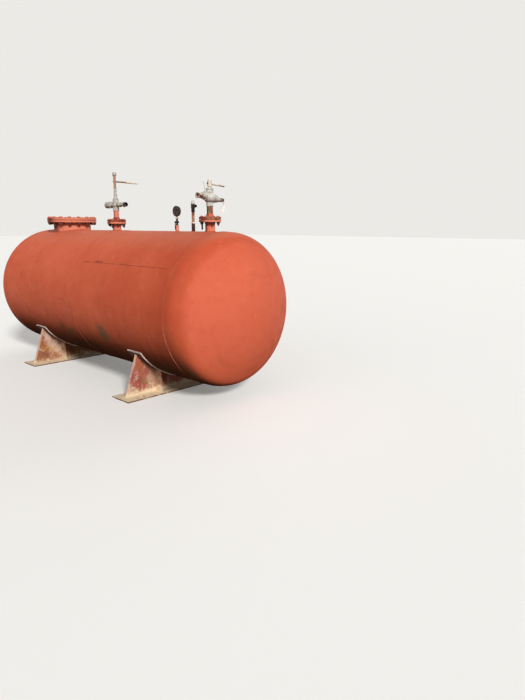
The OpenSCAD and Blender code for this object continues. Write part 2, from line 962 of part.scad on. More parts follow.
// Straight ribs on both faces of the web, cut to the wear plate and sniped
// where they cross the web's weld
module ribs(x) {
    web_face = web_t / 2;
    color(worn_red)
        difference() {
            for (side = [-1, 1])
                translate([x, side * rib_y + rib_t / 2, 0])
                    rotate([90, 0, 0])
                        linear_extrude(height = rib_t)
                            for (face = [-1, 1])
                                polygon([[face * web_face, base_t + rib_snipe],
                                    [face * (web_face + rib_snipe), base_t],
                                    [face * rib_w, base_t],
                                    [face * rib_w, axis_h],
                                    [face * web_face, axis_h]]);
            translate([0, 0, axis_h])
                along_x(x - base_w, x + base_w, wear_r, $fn = 240);
        }
}

// Flat base plate with four anchor holes
module base_plate(x) {
    color(worn_red)
        translate([x, 0, 0])
            difference() {
                translate([-base_w / 2, -base_half, 0])
                    cube([base_w, 2 * base_half, base_t]);
                for (dx = [-1, 1], dy = [-1, 1])
                    translate([dx * anchor_dx / 2, dy * anchor_dy / 2, -over])
                        cylinder(d = anchor_d, h = base_t + 2 * over);
            }
}

module saddle_far_wear_plate() {
    wear_plate(-saddle_far_x);
}

module saddle_far_web() {
    web(-saddle_far_x);
}

module saddle_far_ribs() {
    ribs(-saddle_far_x);
}

module saddle_far_base() {
    base_plate(-saddle_far_x);
}

module saddle_near_wear_plate() {
    wear_plate(saddle_near_x);
}

module saddle_near_web() {
    web(saddle_near_x);
}

module saddle_near_ribs() {
    ribs(saddle_near_x);
}

module saddle_near_base() {
    base_plate(saddle_near_x);
}

shell_far();
shell_near();
head_far();
head_near();
manway_neck();
manway_flange();
manway_gasket();
manway_cover();
far_nozzle_neck();
far_nozzle_flange();
far_nozzle_gasket();
far_valve_flange();
far_valve_riser();
far_valve_body();
far_valve_bonnet();
far_valve_spindle();
far_valve_bar();
far_branch_cap();
far_branch_socket();
near_nozzle_neck();
near_nozzle_flange();
near_nozzle_gasket();
near_valve_flange();
near_valve_riser();
near_valve_body();
near_valve_bonnet();
near_valve_spindle();
near_valve_handle();
near_branch_pipe();
near_branch_plug();
gauge_stub();
gauge_cock();
gauge_case();
gauge_dial();
vent_sleeve();
vent_pipe();
vent_body();
vent_cap();
saddle_far_wear_plate();
saddle_far_web();
saddle_far_ribs();
saddle_far_base();
saddle_near_wear_plate();
saddle_near_web();
saddle_near_ribs();
saddle_near_base();
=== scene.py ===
"""Horizontal pressure tank on two saddles: a painted steel vessel with dished ends, a bolted
manway, two flanged nozzles with valves, a pressure gauge and a small vent. Metres, Z up."""

import bmesh
import bpy
import numpy as np
from mathutils import Matrix, Vector


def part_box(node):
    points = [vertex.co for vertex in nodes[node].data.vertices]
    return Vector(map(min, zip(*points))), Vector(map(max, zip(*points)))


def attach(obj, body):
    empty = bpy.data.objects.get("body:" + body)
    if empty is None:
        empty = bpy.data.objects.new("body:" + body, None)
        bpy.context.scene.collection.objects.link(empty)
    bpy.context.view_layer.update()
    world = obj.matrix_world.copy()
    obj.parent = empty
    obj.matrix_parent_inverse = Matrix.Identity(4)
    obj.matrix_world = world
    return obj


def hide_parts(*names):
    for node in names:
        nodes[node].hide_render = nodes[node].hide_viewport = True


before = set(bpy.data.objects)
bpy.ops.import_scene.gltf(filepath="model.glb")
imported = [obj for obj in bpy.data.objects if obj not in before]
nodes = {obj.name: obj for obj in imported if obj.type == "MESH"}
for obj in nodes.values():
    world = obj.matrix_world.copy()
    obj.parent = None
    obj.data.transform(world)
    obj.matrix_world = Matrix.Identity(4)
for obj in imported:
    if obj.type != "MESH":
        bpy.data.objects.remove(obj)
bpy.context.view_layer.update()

# Camera. It stands where the photograph was taken, 1.57 m above the floor and off the tank's
# near end, with the lens angle of a phone, tipped a little down.
camera_place = Vector((5.176, -3.351, 1.572))
camera_yaw = -0.7527
camera_pitch = 0.2223
camera_roll = 0.0061
focal_px = 540.5
photo_height_px = 700
film_mm = 36


def into_scene(name, data):
    """A new object with this data, linked to the scene."""
    thing = bpy.data.objects.new(name, data)
    bpy.context.scene.collection.objects.link(thing)
    return thing


ahead = Vector((np.sin(camera_yaw) * np.cos(camera_pitch), np.cos(camera_yaw) * np.cos(camera_pitch),
                -np.sin(camera_pitch)))
level_right = Vector((np.cos(camera_yaw), -np.sin(camera_yaw), 0))
level_up = level_right.cross(ahead)
right = level_right * np.cos(camera_roll) + level_up * np.sin(camera_roll)
up = level_up * np.cos(camera_roll) - level_right * np.sin(camera_roll)
camera_data = bpy.data.cameras.new("camera")
camera_data.sensor_width = film_mm
camera_data.lens = focal_px / photo_height_px * film_mm
camera_data.clip_end = 200
camera = into_scene("camera", camera_data)
camera_axes = Matrix((right, up, -ahead)).transposed().to_4x4()
camera.matrix_world = Matrix.Translation(camera_place) @ camera_axes
bpy.context.scene.camera = camera

# Light. A soft lamp stands low and a little to the right of the camera, where the sun was, weak
# ones in front of the tank and behind it, and a pale sky fills the shade; a matte surface
# renders at about its own colour.
for name, towards, strength, spread_deg in (("key_lamp", (0.80, -0.355, 0.485), 3.10, 10),
                                            ("side_lamp", (0.20, -0.93, 0.25), 0.58, 60),
                                            ("back_lamp", (-0.16, 0.92, 0.34), 0.85, 60)):
    lamp = bpy.data.lights.new(name, "SUN")
    lamp.energy = strength
    lamp.angle = np.radians(spread_deg)
    into_scene(name, lamp).rotation_euler = Vector(towards).to_track_quat("Z", "Y").to_euler()


def srgb(hex_colour):
    """Linear RGBA of an sRGB colour written as #rrggbb, by the standard sRGB curve."""
    parts = np.array([int(hex_colour[i : i + 2], 16) / 255 for i in (1, 3, 5)])
    linear = np.where(parts <= 0.04045, parts / 12.92, ((parts + 0.055) / 1.055) ** 2.4)
    return (*linear, 1.0)


def fill(node, inputs):
    """Fills inputs by name or number: links a socket, and sets a number or a hex colour."""
    for name, value in inputs.items():
        if isinstance(value, bpy.types.NodeSocket):
            node.id_data.links.new(value, node.inputs[name])
        else:
            node.inputs[name].default_value = srgb(value) if isinstance(value, str) else value


def add(tree, kind, inputs=None, out=0, **settings):
    """Adds a node with its settings and inputs, and gives one output, or all if out is None."""
    node = tree.nodes.new("ShaderNode" + kind)
    for name, value in settings.items():
        setattr(node, name, value)
    fill(node, inputs or {})
    return node.outputs if out is None else node.outputs[out]


def seen_directly(tree):
    """1 for rays from the camera, and for those that a gloss or a glass sends on from it, else 0."""
    ray = add(tree, "LightPath", out=None)
    sharp = ray["Is Camera Ray"]
    for kind in ("Is Glossy Ray", "Is Transmission Ray"):
        sharp = add(tree, "Math", {0: sharp, 1: ray[kind]}, operation="MAXIMUM")
    unscattered = add(tree, "Math", {0: ray["Diffuse Depth"], 1: 0.5}, operation="LESS_THAN")
    return add(tree, "Math", {0: sharp, 1: unscattered}, operation="MULTIPLY")


sky_strength = 0.26
world = bpy.data.worlds.new("studio")
world.use_nodes = True
bpy.context.scene.world = world
sky = world.node_tree
sky.nodes.clear()
sky_light = add(sky, "Background", {"Color": "#f2f5fa", "Strength": sky_strength})
sky_seen = add(sky, "Background", {"Color": "#eceae6", "Strength": 1.0})
sky_mix = add(sky, "MixShader", {0: seen_directly(sky), 1: sky_light, 2: sky_seen})
add(sky, "OutputWorld", {"Surface": sky_mix}, out=None)
bpy.context.scene.view_settings.view_transform = "Standard"

# Floor. A plain pale studio floor under the base plates, wide enough to reach the horizon; it
# looks pale, and throws back only as much light as trodden sand does.
def new_material(name):
    """An empty material with its tree, its Principled shader, and the object's coordinates."""
    material = bpy.data.materials.new(name)
    material.use_nodes = True
    tree = material.node_tree
    tree.nodes.clear()
    surface = add(tree, "BsdfPrincipled")
    add(tree, "OutputMaterial", {"Surface": surface}, out=None)
    return material, tree, surface.node, add(tree, "TexCoord", out="Object")


floor_reach = 90
floor_glow = 0.16
floor_corners = [(floor_reach * x, floor_reach * y, 0) for x, y in ((-1, -1), (1, -1), (1, 1), (-1, 1))]
floor_mesh = bpy.data.meshes.new("studio_floor")
floor_mesh.from_pydata(floor_corners, [], [(0, 1, 2, 3)])
floor_paint, tree, shader, _ = new_material("pale_floor")
seen = seen_directly(tree)
fill(shader, {
    "Base Color": add(tree, "Mix", {0: seen, 6: "#6b665e", 7: "#efede8"}, out=2, data_type="RGBA"),
    "Emission Color": "#efede8",
    "Emission Strength": add(tree, "Math", {0: seen, 1: floor_glow}, operation="MULTIPLY"),
    "Roughness": 0.9,
    "Specular IOR Level": 0.2,
})
floor_mesh.materials.append(floor_paint)
into_scene("studio_floor", floor_mesh)

# Vessel. Two rolled courses and two dished heads of 10 mm steel plate, butt welded and brushed
# with red oxide primer: paler on faces turned to the near end, partly sun bleaching and partly
# painted light; streaked by rain; darker low down and underneath, partly mud and partly painted
# shade.
shell_low, shell_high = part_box("shell_far")
axis_height = (shell_low.z + shell_high.z) / 2
tank_radius = shell_high.z - axis_height
# Faces turned this way are painted paler: partly sun bleaching, partly painted light.
bleached_and_lit_side = (0.98, 0.0, -0.20)
# Faces turned this way get painted shade.
painted_shade_side = (-0.66, -0.75, 0.0)


def mask(*steps):
    """Product of smooth steps. A step is a value, the levels at which it starts and is over, and
    what it runs from and to, 0 and 1 if left out; or it is a mask made before."""
    product = None
    for step in steps:
        if isinstance(step, tuple):
            step = add(step[0].id_data, "MapRange", dict(enumerate((*step, 0.0, 1.0)[:5])),
                       interpolation_type="SMOOTHSTEP")
        if product is not None:
            step = add(step.id_data, "Math", {0: product, 1: step}, operation="MULTIPLY")
        product = step
    return product


def coat(colour, paint, *steps):
    """The colour under a paint that covers as much as the mask of these steps."""
    cover = mask(*steps)
    return add(cover.id_data, "Mix", {0: cover, 6: colour, 7: paint}, out=2, data_type="RGBA")


def coats(colour, *layers):
    """The colour under paints laid on in turn. A layer is a value, the levels at which its paint
    starts and is full, how much it covers there, and its colour."""
    for value, low, high, cover, paint in layers:
        colour = coat(colour, paint, (value, low, high, 0, cover))
    return colour


def grain(place, per_metre, detail=4.0, squeeze=(1, 1, 1), roughness=0.55):
    """Noise with about per_metre blotches to a metre, made finer along an axis by its squeeze."""
    tree = place.id_data
    scaled = add(tree, "Mapping", {"Vector": place, "Scale": squeeze})
    return add(tree, "TexNoise",
               {"Vector": scaled, "Scale": per_metre, "Detail": detail, "Roughness": roughness})


def spot(place, centre, half_size):
    """1 at the centre of an ellipsoid with these half sizes, falling to 0 at its edge."""
    scale = tuple(1 / h for h in half_size)
    shift = tuple(-c / h for c, h in zip(centre, half_size))
    local = add(place.id_data, "Mapping", {"Vector": place, "Location": shift, "Scale": scale})
    reach = add(place.id_data, "VectorMath", {0: local}, out="Value", operation="LENGTH")
    return mask((reach, 0.30, 1.0, 1.0, 0.0))


def strayed(place, stray, per_metre):
    """The place moved by noise, up to about a fifth of stray each way, so that a spot worked out
    from it gets a ragged outline."""
    tree = place.id_data
    noise = add(tree, "TexNoise", {"Vector": place, "Scale": per_metre, "Detail": 6, "Roughness": 0.78},
                out="Color")
    middle = add(tree, "VectorMath", {0: place, 1: (stray / 2,) * 3}, operation="SUBTRACT")
    return add(tree, "VectorMath", {0: noise, 1: (stray,) * 3, 2: middle}, operation="MULTIPLY_ADD")


def scuff(place, start, end, half_width):
    """1 on the straight line from start to end, falling to 0 at half_width from it."""
    tree, run = place.id_data, Vector(end) - Vector(start)
    offset = add(tree, "VectorMath", {0: place, 1: start}, operation="SUBTRACT")
    along = add(tree, "VectorMath", {0: offset, 1: tuple(run / run.length_squared)}, out="Value",
                operation="DOT_PRODUCT")
    along = add(tree, "Clamp", {0: along})
    nearest = add(tree, "VectorMath", {0: tuple(run), "Scale": along}, operation="SCALE")
    gap = add(tree, "VectorMath", {0: offset, 1: nearest}, out="Value", operation="DISTANCE")
    return mask((gap, half_width * 0.2, half_width, 1.0, 0.0))


def facing_of(tree):
    """X, Y and Z of the direction in which the surface faces."""
    return add(tree, "SeparateXYZ", {0: add(tree, "NewGeometry", out="Normal")}, out=None)


def turned_to(tree, side):
    """How far the surface is turned to a side: its normal times that direction."""
    normal = add(tree, "NewGeometry", out="Normal")
    return add(tree, "VectorMath", {0: normal, 1: side}, out="Value", operation="DOT_PRODUCT")


def finish(shader, colour, roughness, bumps=(), shine=0.5):
    """Sets a shader's colour, roughness and specular level, and lays bumps on each other: each
    is a height value with its depth in metres. Roughness is a number, or a grain with what it
    runs from and to."""
    if isinstance(roughness, tuple):
        value, low, high = roughness
        roughness = mask((value, 0.3, 0.7, low, high))
    normal = {}
    for height, depth in bumps:
        layer = {"Height": height, "Strength": 1.0, "Distance": depth, **normal}
        normal = {"Normal": add(shader.id_data, "Bump", layer)}
    fill(shader, {"Base Color": colour, "Roughness": roughness, "Specular IOR Level": shine, **normal})


def dress(material, *names):
    """Gives these CAD nodes one material."""
    for name in names:
        for slot in nodes[name].material_slots:
            slot.material = material


def red_oxide(name, bead=False, chalk=0.0, rubbed=()):
    """Red oxide primer, dull and a little chalky, so it scatters light and hardly shines: tone
    shifts over half a metre, brush mottling of 9 cm, rain streaks round the shell, grit of 6 mm.
    On a bead the paint is a darker red and the ridge is pale low down, partly scoured paint and
    partly painted highlight; chalk is how far the sun has turned the paint to pink powder, and
    with it faces turned to the far end and the front get painted shade; rubbed lists levels of
    edges worn to rust."""
    material, tree, shader, place = new_material(name)
    where = add(tree, "SeparateXYZ", {0: place}, out=None)
    facing = facing_of(tree)
    broad = grain(place, 1.5, 3)
    mottle = grain(place, 11, 6, roughness=0.65)
    grit = grain(place, 160, 3)
    streak = grain(place, 2.8, 6, squeeze=(7, 0.8, 0.8), roughness=0.6)
    smudge = grain(place, 7.5, 5, squeeze=(0.7, 1, 1.8), roughness=0.62)
    # Faces turned to the near end are paler, partly sun bleaching and partly painted light.
    colour = coats(
        "#bf5032",
        (broad, 0.35, 0.68, 1.0, "#cb5c3c"),
        (where["X"], 1.30, 0.30, 0.35, "#e2704f"),
        (turned_to(tree, bleached_and_lit_side), 0.52, 0.92, 0.62, "#dd6b4e"),
        (mottle, 0.52, 0.78, 0.30, "#ad472e"),
        (mottle, 0.44, 0.30, 0.35, "#d96b4d"),
        (streak, 0.54, 0.74, 0.30, "#a04c35"),
        (grit, 0.58, 0.76, 0.16, "#e59b80"))
    colour = coat(colour, "#c48468", (facing["Z"], 0.72, 0.98), (mottle, 0.34, 0.62, 0.12, 0.36))
    if chalk:
        shade_turn = turned_to(tree, painted_shade_side)
        colour = coat(colour, "#d69a80", (mottle, 0.35, 0.60, chalk * 0.6, chalk))
        # Painted shade: faces turned to the far end and the front go dark red.
        colour = coat(colour, "#64231a", (shade_turn, 0.42, 0.72), (mottle, 0.35, 0.60, 0.55, 0.85))

    # Mud and grime lie low on the shell and under it, but not on the round heads; this darkening
    # low down and underneath is partly painted shade.
    heads_spared = mask((facing["X"], 0.20, 0.72, 1.0, 0.0))
    colour = coat(colour, "#6b3a28", (where["Z"], 0.80, 0.24), heads_spared, (streak, 0.30, 0.60, 0.50, 0.78))
    colour = coat(colour, "#563729", (facing["Z"], -0.34, -0.80), (streak, 0.3, 0.6, 0.82, 0.96), heads_spared)
    colour = coat(colour, "#9a6c4a", (where["Z"], 0.44, 0.20), (smudge, 0.52, 0.68, 0, 0.16))

    # Stains: centre, half sizes, depth and colour. Scuffs, and a painted shadow along the near long
    # seam: start, end, half width and depth.
    stains = (((-0.27, -0.60, 0.48), (0.26, 0.22, 0.12), 0.92, "#6e5132"),
              ((0.516, -0.645, 0.565), (0.15, 0.22, 0.15), 0.92, "#76553a"),
              ((-0.05, -0.50, 0.36), (0.34, 0.22, 0.08), 0.85, "#503424"),
              ((1.20, -0.45, 0.30), (0.34, 0.22, 0.08), 0.75, "#503424"),
              ((1.63, -0.42, 0.34), (0.09, 0.22, 0.12), 0.70, "#6b452c"))
    # The third line lies along the lower edge of the near long seam's bead: a painted shadow.
    scuffs_and_seam_shadow = (((-0.931, -0.524, 1.300), (-0.895, -0.609, 1.181), 0.010, 0.7),
              ((-0.250, -0.700, 0.835), (-0.160, -0.700, 0.835), 0.008, 0.5),
              ((0.12, -0.575, 1.2335), (1.46, -0.575, 1.2335), 0.009, 0.45),
              ((0.34, -0.570, 1.240), (0.46, -0.570, 1.240), 0.020, 0.6),
              ((0.72, -0.570, 1.240), (0.84, -0.570, 1.240), 0.018, 0.5))
    ragged = strayed(place, 0.22, 7)
    for centre, half_size, depth, stain in stains:
        colour = coat(colour, stain, spot(ragged, centre, half_size), (smudge, 0.32, 0.60, 0.12, depth))
    for start, end, half_width, depth in scuffs_and_seam_shadow:
        line = scuff(place, start, end, half_width)
        colour = coat(colour, "#6f3424", line, (mottle, 0.36, 0.60, depth * 0.2, depth))
    flecks = grain(place, 42, 2, squeeze=(1, 1, 2.2))
    colour = coats(colour, (flecks, 0.70, 0.77, 0.55, "#6e3324"))
    # A bead is a darker red; low down its ridge is pale, partly scoured paint and partly painted highlight.
    if bead:
        pale_bead_level = mask((where["X"], 0.5, 1.0, 0.44, 0.80))
        below = add(tree, "Math", {0: pale_bead_level, 1: where["Z"]}, operation="SUBTRACT")
        colour = add(tree, "Mix", {0: 0.45, 6: colour, 7: "#9c4029"}, out=2, data_type="RGBA")
        colour = coat(colour, "#e0977e", (below, -0.06, 0.10), (where["Z"], 0.30, 0.46),
                      (mottle, 0.42, 0.56, 0.12, 0.42))
    for level in rubbed:
        above = add(tree, "Math", {0: where["Z"], 1: level}, operation="SUBTRACT")
        gap = add(tree, "Math", {0: above}, operation="ABSOLUTE")
        colour = coat(colour, "#7c3c2a", (gap, 0.0045, 0.0015), (mottle, 0.40, 0.55, 0.1, 0.8))

    # Dry dust on the paint that faces the ground takes away its last shine.
    shine = mask((facing["Z"], -0.55, -0.10, 0.0, 0.16))
    dents = grain(place, 1.7, 2, squeeze=(1.6, 0.6, 0.6))
    finish(shader, colour, (mottle, 0.58, 0.78),
           ((dents, 0.020), (mottle, 0.0022), (grit, 0.0006)), shine)
    return material


tank_paint = red_oxide("red_oxide_primer")
dress(tank_paint, "shell_far", "shell_near", "head_far", "head_near")

# Weld beads. Hand-laid beads of 16 mm run round the three girth joints and along each course,
# and fillets run round every neck; their ripples show through the paint.
bead_width = 0.016
bead_height = 0.003
bead_sunk = 0.002
ripple_step = 0.007
weld_paint = red_oxide("red_oxide_on_weld", bead=True)


def xyz(x, y, z):
    """Points from their coordinates, each a number or an array, brought to one shape."""
    return np.stack(np.broadcast_arrays(x, y, z), axis=-1)


def once_round(steps):
    """This many angles, once round a circle."""
    return np.linspace(0, 2 * np.pi, steps, endpoint=False)


def ring_stack(rings, closed=False):
    """Points and faces of the surface through an array of rings (rings, steps, 3): one quad
    joins each point to the next in its ring and in the next ring. An open stack gets two ends."""
    count, steps = rings.shape[:2]
    row = np.arange(count if closed else count - 1)[:, None] * steps
    above = (row + steps) % (count * steps)
    step = np.arange(steps)
    after = (step + 1) % steps
    faces = np.stack([row + step, row + after, above + after, above + step], axis=-1).reshape(-1, 4).tolist()
    if not closed:
        faces.append(list(range(steps))[::-1])
        faces.append(list(range((count - 1) * steps, count * steps)))
    return rings.reshape(-1, 3), faces


def copies(part, places, turns=0.0):
    """The part repeated at each place, turned about its own Z by each turn in radians."""
    points, faces = part
    x, y, z = points.T
    c, s = np.cos(turns).reshape(-1, 1), np.sin(turns).reshape(-1, 1)
    moved = xyz(c * x - s * y, s * x + c * y, z) + np.asarray(places, float)[:, None]
    all_faces = [[v + k * len(points) for v in face] for k in range(len(places)) for face in faces]
    return moved.reshape(-1, 3), all_faces


def make_piece(name, parts, material, body="tank", crease_deg=32):
    """One object from several (points, faces) parts, shaded smooth up to the crease angle."""
    points, faces, first = [], [], 0
    for part_points, part_faces in parts:
        points.append(part_points)
        faces += [[v + first for v in face] for face in part_faces]
        first += len(part_points)
    mesh = bpy.data.meshes.new(name)
    mesh.from_pydata(np.concatenate(points).tolist(), [], faces)
    work = bmesh.new()
    work.from_mesh(mesh)
    bmesh.ops.recalc_face_normals(work, faces=work.faces)
    work.to_mesh(mesh)
    work.free()
    mesh.polygons.foreach_set("use_smooth", np.ones(len(mesh.polygons), bool))
    mesh.set_sharp_from_angle(angle=np.radians(crease_deg))
    mesh.materials.append(material)
    piece = into_scene(name, mesh)
    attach(piece, body)


def plate_bead(place_at, length, closed):
    """A bead lying on the plate. place_at(run, across, height) gives points; the bead's height
    is a parabola across it, times 1 plus a saw wave along it, one tooth per ripple. Two points
    of each ring lie sunk in the plate."""
    top_steps = 9
    run = np.linspace(0, 1, int(length / ripple_step) * 3, endpoint=not closed)[:, None]
    across = np.concatenate([np.linspace(-1, 1, top_steps), [0.9, -0.9]])
    tooth = (run * length / ripple_step) % 1.0
    wave = 0.82 + 0.30 * tooth - 0.10 * np.sin(37 * run + 3 * across)
    height = bead_height * np.clip(1 - across**2, 0, 1) * wave
    height[:, top_steps:] = -bead_sunk
    edge = 1 + 0.10 * np.sin(run * length * 95) * np.abs(across)
    return ring_stack(place_at(run, across * edge * bead_width / 2, height), closed)


def girth_bead(x):
    """Bead round the tank at x: turned round the axis by the run."""
    def place_at(run, across, height):
        turn, radius = 2 * np.pi * run, tank_radius + height
        return xyz(x + across, radius * np.cos(turn), axis_height + radius * np.sin(turn))
    return plate_bead(place_at, 2 * np.pi * tank_radius, closed=True)


def long_bead(x0, x1, degrees):
    """Bead along a course, at this angle above the horizontal on the front side."""
    turn = np.radians(degrees)
    def place_at(run, across, height):
        lean, radius = turn + across / tank_radius, tank_radius + height
        return xyz(x0 + (x1 - x0) * run, -radius * np.cos(lean), axis_height + radius * np.sin(lean))
    return plate_bead(place_at, x1 - x0, closed=False)


def make_weld(name, runs, material=weld_paint):
    """A piece of weld runs, whose soft ripples are shaded without creases."""
    make_piece(name, runs, material, crease_deg=60)


course_end = shell_low.x
seam_near_deg = 35
seam_far_deg = 128
for name, x in (("middle", 0.0), ("near", -course_end), ("far", course_end)):
    make_weld("girth_weld_" + name, [girth_bead(x)])
for name, x0, x1, degrees in (("near", bead_width, -course_end - bead_width, seam_near_deg),
                              ("far", course_end + bead_width, -bead_width, seam_far_deg)):
    make_weld("long_weld_" + name, [long_bead(x0, x1, degrees)], tank_paint)


def tube(path, radius, out, closed=False, sides=8):
    """Tube round a path: circles of this radius, spanned by the out direction and by the path's
    tangent crossed with it."""
    tangent = np.roll(path, -1, axis=0) - np.roll(path, 1, axis=0) if closed else np.gradient(path, axis=0)
    tangent = tangent / np.linalg.norm(tangent, axis=1, keepdims=True)
    aside = np.cross(out, tangent)
    aside = aside / np.linalg.norm(aside, axis=1, keepdims=True)
    around = once_round(sides)[None, :, None]
    radius = np.broadcast_to(np.asarray(radius, float), (len(path),))[:, None, None]
    outward = np.cross(tangent, aside)[:, None]
    rings = path[:, None] + radius * (np.cos(around) * outward + np.sin(around) * aside[:, None])
    return ring_stack(rings, closed)


def weld_run(place_at, length, leg, closed=False):
    """Fillet along place_at(run), which gives the path and its out direction: a tube whose
    radius is leg times (0.9 + 0.2 saw), one tooth per ripple."""
    run = np.linspace(0, 1, int(length / ripple_step) * 2, endpoint=not closed)
    path, out = place_at(run)
    return tube(path, leg * (0.9 + 0.2 * ((run * length / ripple_step + 0.25) % 1.0)), out, closed)


def neck_fillet(x, neck_radius, leg):
    """Fillet where an upright neck meets the round shell, along the curve x + r cos t, r sin t,
    axis + sqrt(R^2 - (r sin t)^2)."""
    def place_at(run):
        out = xyz(np.cos(2 * np.pi * run), np.sin(2 * np.pi * run), 0)
        across, deep, _ = neck_radius * out.T
        return xyz(x + across, deep, axis_height + np.sqrt(tank_radius**2 - deep**2)), out
    return weld_run(place_at, 2 * np.pi * neck_radius, leg, closed=True)


def upright(node):
    """Middle and radius of an upright round node, with its lowest and highest level."""
    low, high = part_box(node)
    return (low.x + high.x) / 2, (high.x - low.x) / 2, low.z, high.z


for node, leg in (("manway_neck", 0.009), ("far_nozzle_neck", 0.006), ("near_nozzle_neck", 0.006),
                  ("gauge_stub", 0.004), ("vent_sleeve", 0.004)):
    middle, radius, _, _ = upright(node)
    make_weld(node + "_weld", [neck_fillet(middle, radius, leg)])

# Manway. A rolled neck with a slip-on flange and a blind cover, closed by sixteen M24 bolts on a
# rubber-bound gasket; flange, cover and bolt heads carry the tank's paint, worn along the rims.
def rim_levels(*names):
    """Top and bottom level of each of these nodes, where its edges are rubbed."""
    return [level for name in names for level in upright(name)[2:]]


manway_paint = red_oxide("red_oxide_on_manway", chalk=0.50, rubbed=rim_levels("manway_flange", "manway_cover"))
neck_paint = red_oxide("red_oxide_on_necks", chalk=0.48)
dress(neck_paint, "manway_neck", "far_nozzle_neck", "near_nozzle_neck")
dress(manway_paint, "manway_flange", "manway_cover")

# Compressed fibre sheet bound with rubber, black and quite matt, with the fibres' fine nap.
gasket_sheet, tree, shader, place = new_material("fibre_gasket_sheet")
nap = grain(place, 700, 3)
finish(shader, coats("#1d1917", (nap, 0.4, 0.6, 1.0, "#332c28")), 0.85, ((nap, 0.0005),))
dress(gasket_sheet, "manway_gasket", "far_nozzle_gasket", "near_nozzle_gasket")


def rusted(name, dark, light, paint=None, cover=0.5, shine=0.3, shade_depth=0.0):
    """Steel or iron under dull rust, whose pits of 2 to 5 mm swallow the light, in blooms of
    4 cm; what is left of a paint lies over it in flakes, as much as cover gives, and faces turned
    to the far end and the front get painted shade, as deep as the last argument gives."""
    material, tree, shader, place = new_material(name)
    pits = grain(place, 240, 5, roughness=0.7)
    bloom = grain(place, 26, 5, roughness=0.65)
    colour = coats(dark, (pits, 0.35, 0.65, 1.0, light), (bloom, 0.56, 0.70, 0.5, dark))
    if paint:
        colour = coats(colour, (bloom, 0.60 - cover * 0.3, 0.66 - cover * 0.3, 1.0, paint))
    if shade_depth:
        # Painted shade on faces turned to the far end and the front.
        colour = coats(colour, (turned_to(tree, painted_shade_side), 0.30, 0.66, shade_depth, "#35160f"))
    finish(shader, colour, (pits, 0.62, 0.88), ((bloom, 0.0015), (pits, 0.0007)), shine)
    return material


nut_steel = rusted("rusted_nut_steel", "#2a1a15", "#4a2c21", paint="#7c4030", cover=0.1)
bolt_head_paint = rusted("overpainted_bolt_head", "#6f3626", "#8d4a34", paint="#c86a4e", cover=0.85)
# The manway's nuts are rusty and dark, darkened further as painted shade for the band under its flange.
nut_paint = rusted("nuts_darkened_as_painted_shade", "#3d1f18", "#5c2e24", paint="#8a4b3a", cover=0.30)


def turned_bar(levels, radii, steps=20, flats=None):
    """Bar turned about Z through these levels and radii. With a width across flats it is a
    hexagon: at angle t the radius is the smaller of the level's own and the distance to the
    side, flats / 2 / cos(t mod 60 - 30 degrees)."""
    turn = once_round(steps)
    side = flats / 2 / np.cos(turn % (np.pi / 3) - np.pi / 6) if flats else np.inf
    radius = np.minimum(np.reshape(radii, (-1, 1)), side)
    return ring_stack(xyz(radius * np.cos(turn), radius * np.sin(turn), np.reshape(levels, (-1, 1))))


def hexagon(low, high, chamfer, end_radius, corner_radius, flats):
    """Nut from low to high, turned down to the end radius over the chamfer at either end."""
    return turned_bar([low, low + chamfer, high - chamfer, high],
                      [end_radius, corner_radius, corner_radius, end_radius], 24, flats)


def threaded_bar(low, high, outer, pitch, steps=12):
    """Threaded bar: its radius zigzags between outer and 0.88 of it, once per pitch."""
    turns = int((high - low) / pitch) * 2
    levels = np.linspace(low, high, turns + 1)
    return turned_bar(levels, np.where(np.arange(turns + 1) % 2, outer, outer * 0.88), steps)


def bolt_head(size):
    """A hexagon head on a thin washer, above z = 0; flats are 1.5 sizes apart, the head 0.52 high."""
    flats, corner, washer = 1.5 * size, 1.73 * size / 2, 0.06 * size
    top = washer + 0.52 * size
    head = turned_bar([washer, top - 0.1 * size, top], [corner, corner, flats / 2 * 0.95], 24, flats)
    ring = turned_bar(washer * np.array((0, 0.3, 0.7, 1)), size * np.array((0.93, 0.96, 0.96, 0.93)))
    return [head, ring]


def bolt_nut(size):
    """Washer and nut below z = 0; the nut is 0.85 sizes high."""
    flats, corner, washer = 1.5 * size, 1.73 * size / 2, 0.16 * size
    nut = hexagon(-washer - 0.85 * size, -washer, 0.1 * size, flats / 2 * 0.95, corner, flats)
    ring = turned_bar([-washer, -washer + 0.02 * size, -0.02 * size, 0], [0.97 * size, size, size, 0.97 * size])
    return [nut, ring]


def bolt_joint(name, middle, top, low, count, pitch_diameter, size, tails, head_paint, nut_paint,
               long_one=None):
    """Bolts all round a joint whose plates lie from low to top. Each is turned by its own angle,
    as the spanner left it, and shows its own length of thread below the nut, within tails;
    long_one names one bolt and how much further it reaches."""
    turn = (np.arange(count) + 0.5) * 2 * np.pi / count
    x, y = middle + pitch_diameter / 2 * np.cos(turn), pitch_diameter / 2 * np.sin(turn)
    spanner = turn + np.sin(turn * 7 + count) * 0.6
    drop = (tails[1] - tails[0]) * (0.5 + 0.5 * np.sin(turn * 11 + 2))
    if long_one:
        drop[long_one[0]] = long_one[1]
    heads = [copies(part, xyz(x, y, top), spanner) for part in bolt_head(size)]
    nuts = [copies(part, xyz(x, y, low), spanner * 1.7 + 0.4) for part in bolt_nut(size)]
    thread = threaded_bar(-1.01 * size - tails[0], drop.max(), size * 0.5, 0.125 * size)
    shank = turned_bar([-0.3 * size, top - low], [0.49 * size, 0.49 * size], 12)
    threads = copies(thread, xyz(x, y, low - drop), spanner)
    make_piece(name + "_heads", heads, head_paint)
    make_piece(name + "_nuts", nuts, nut_paint)
    make_piece(name + "_threads", [threads, copies(shank, xyz(x, y, low))], nut_steel)


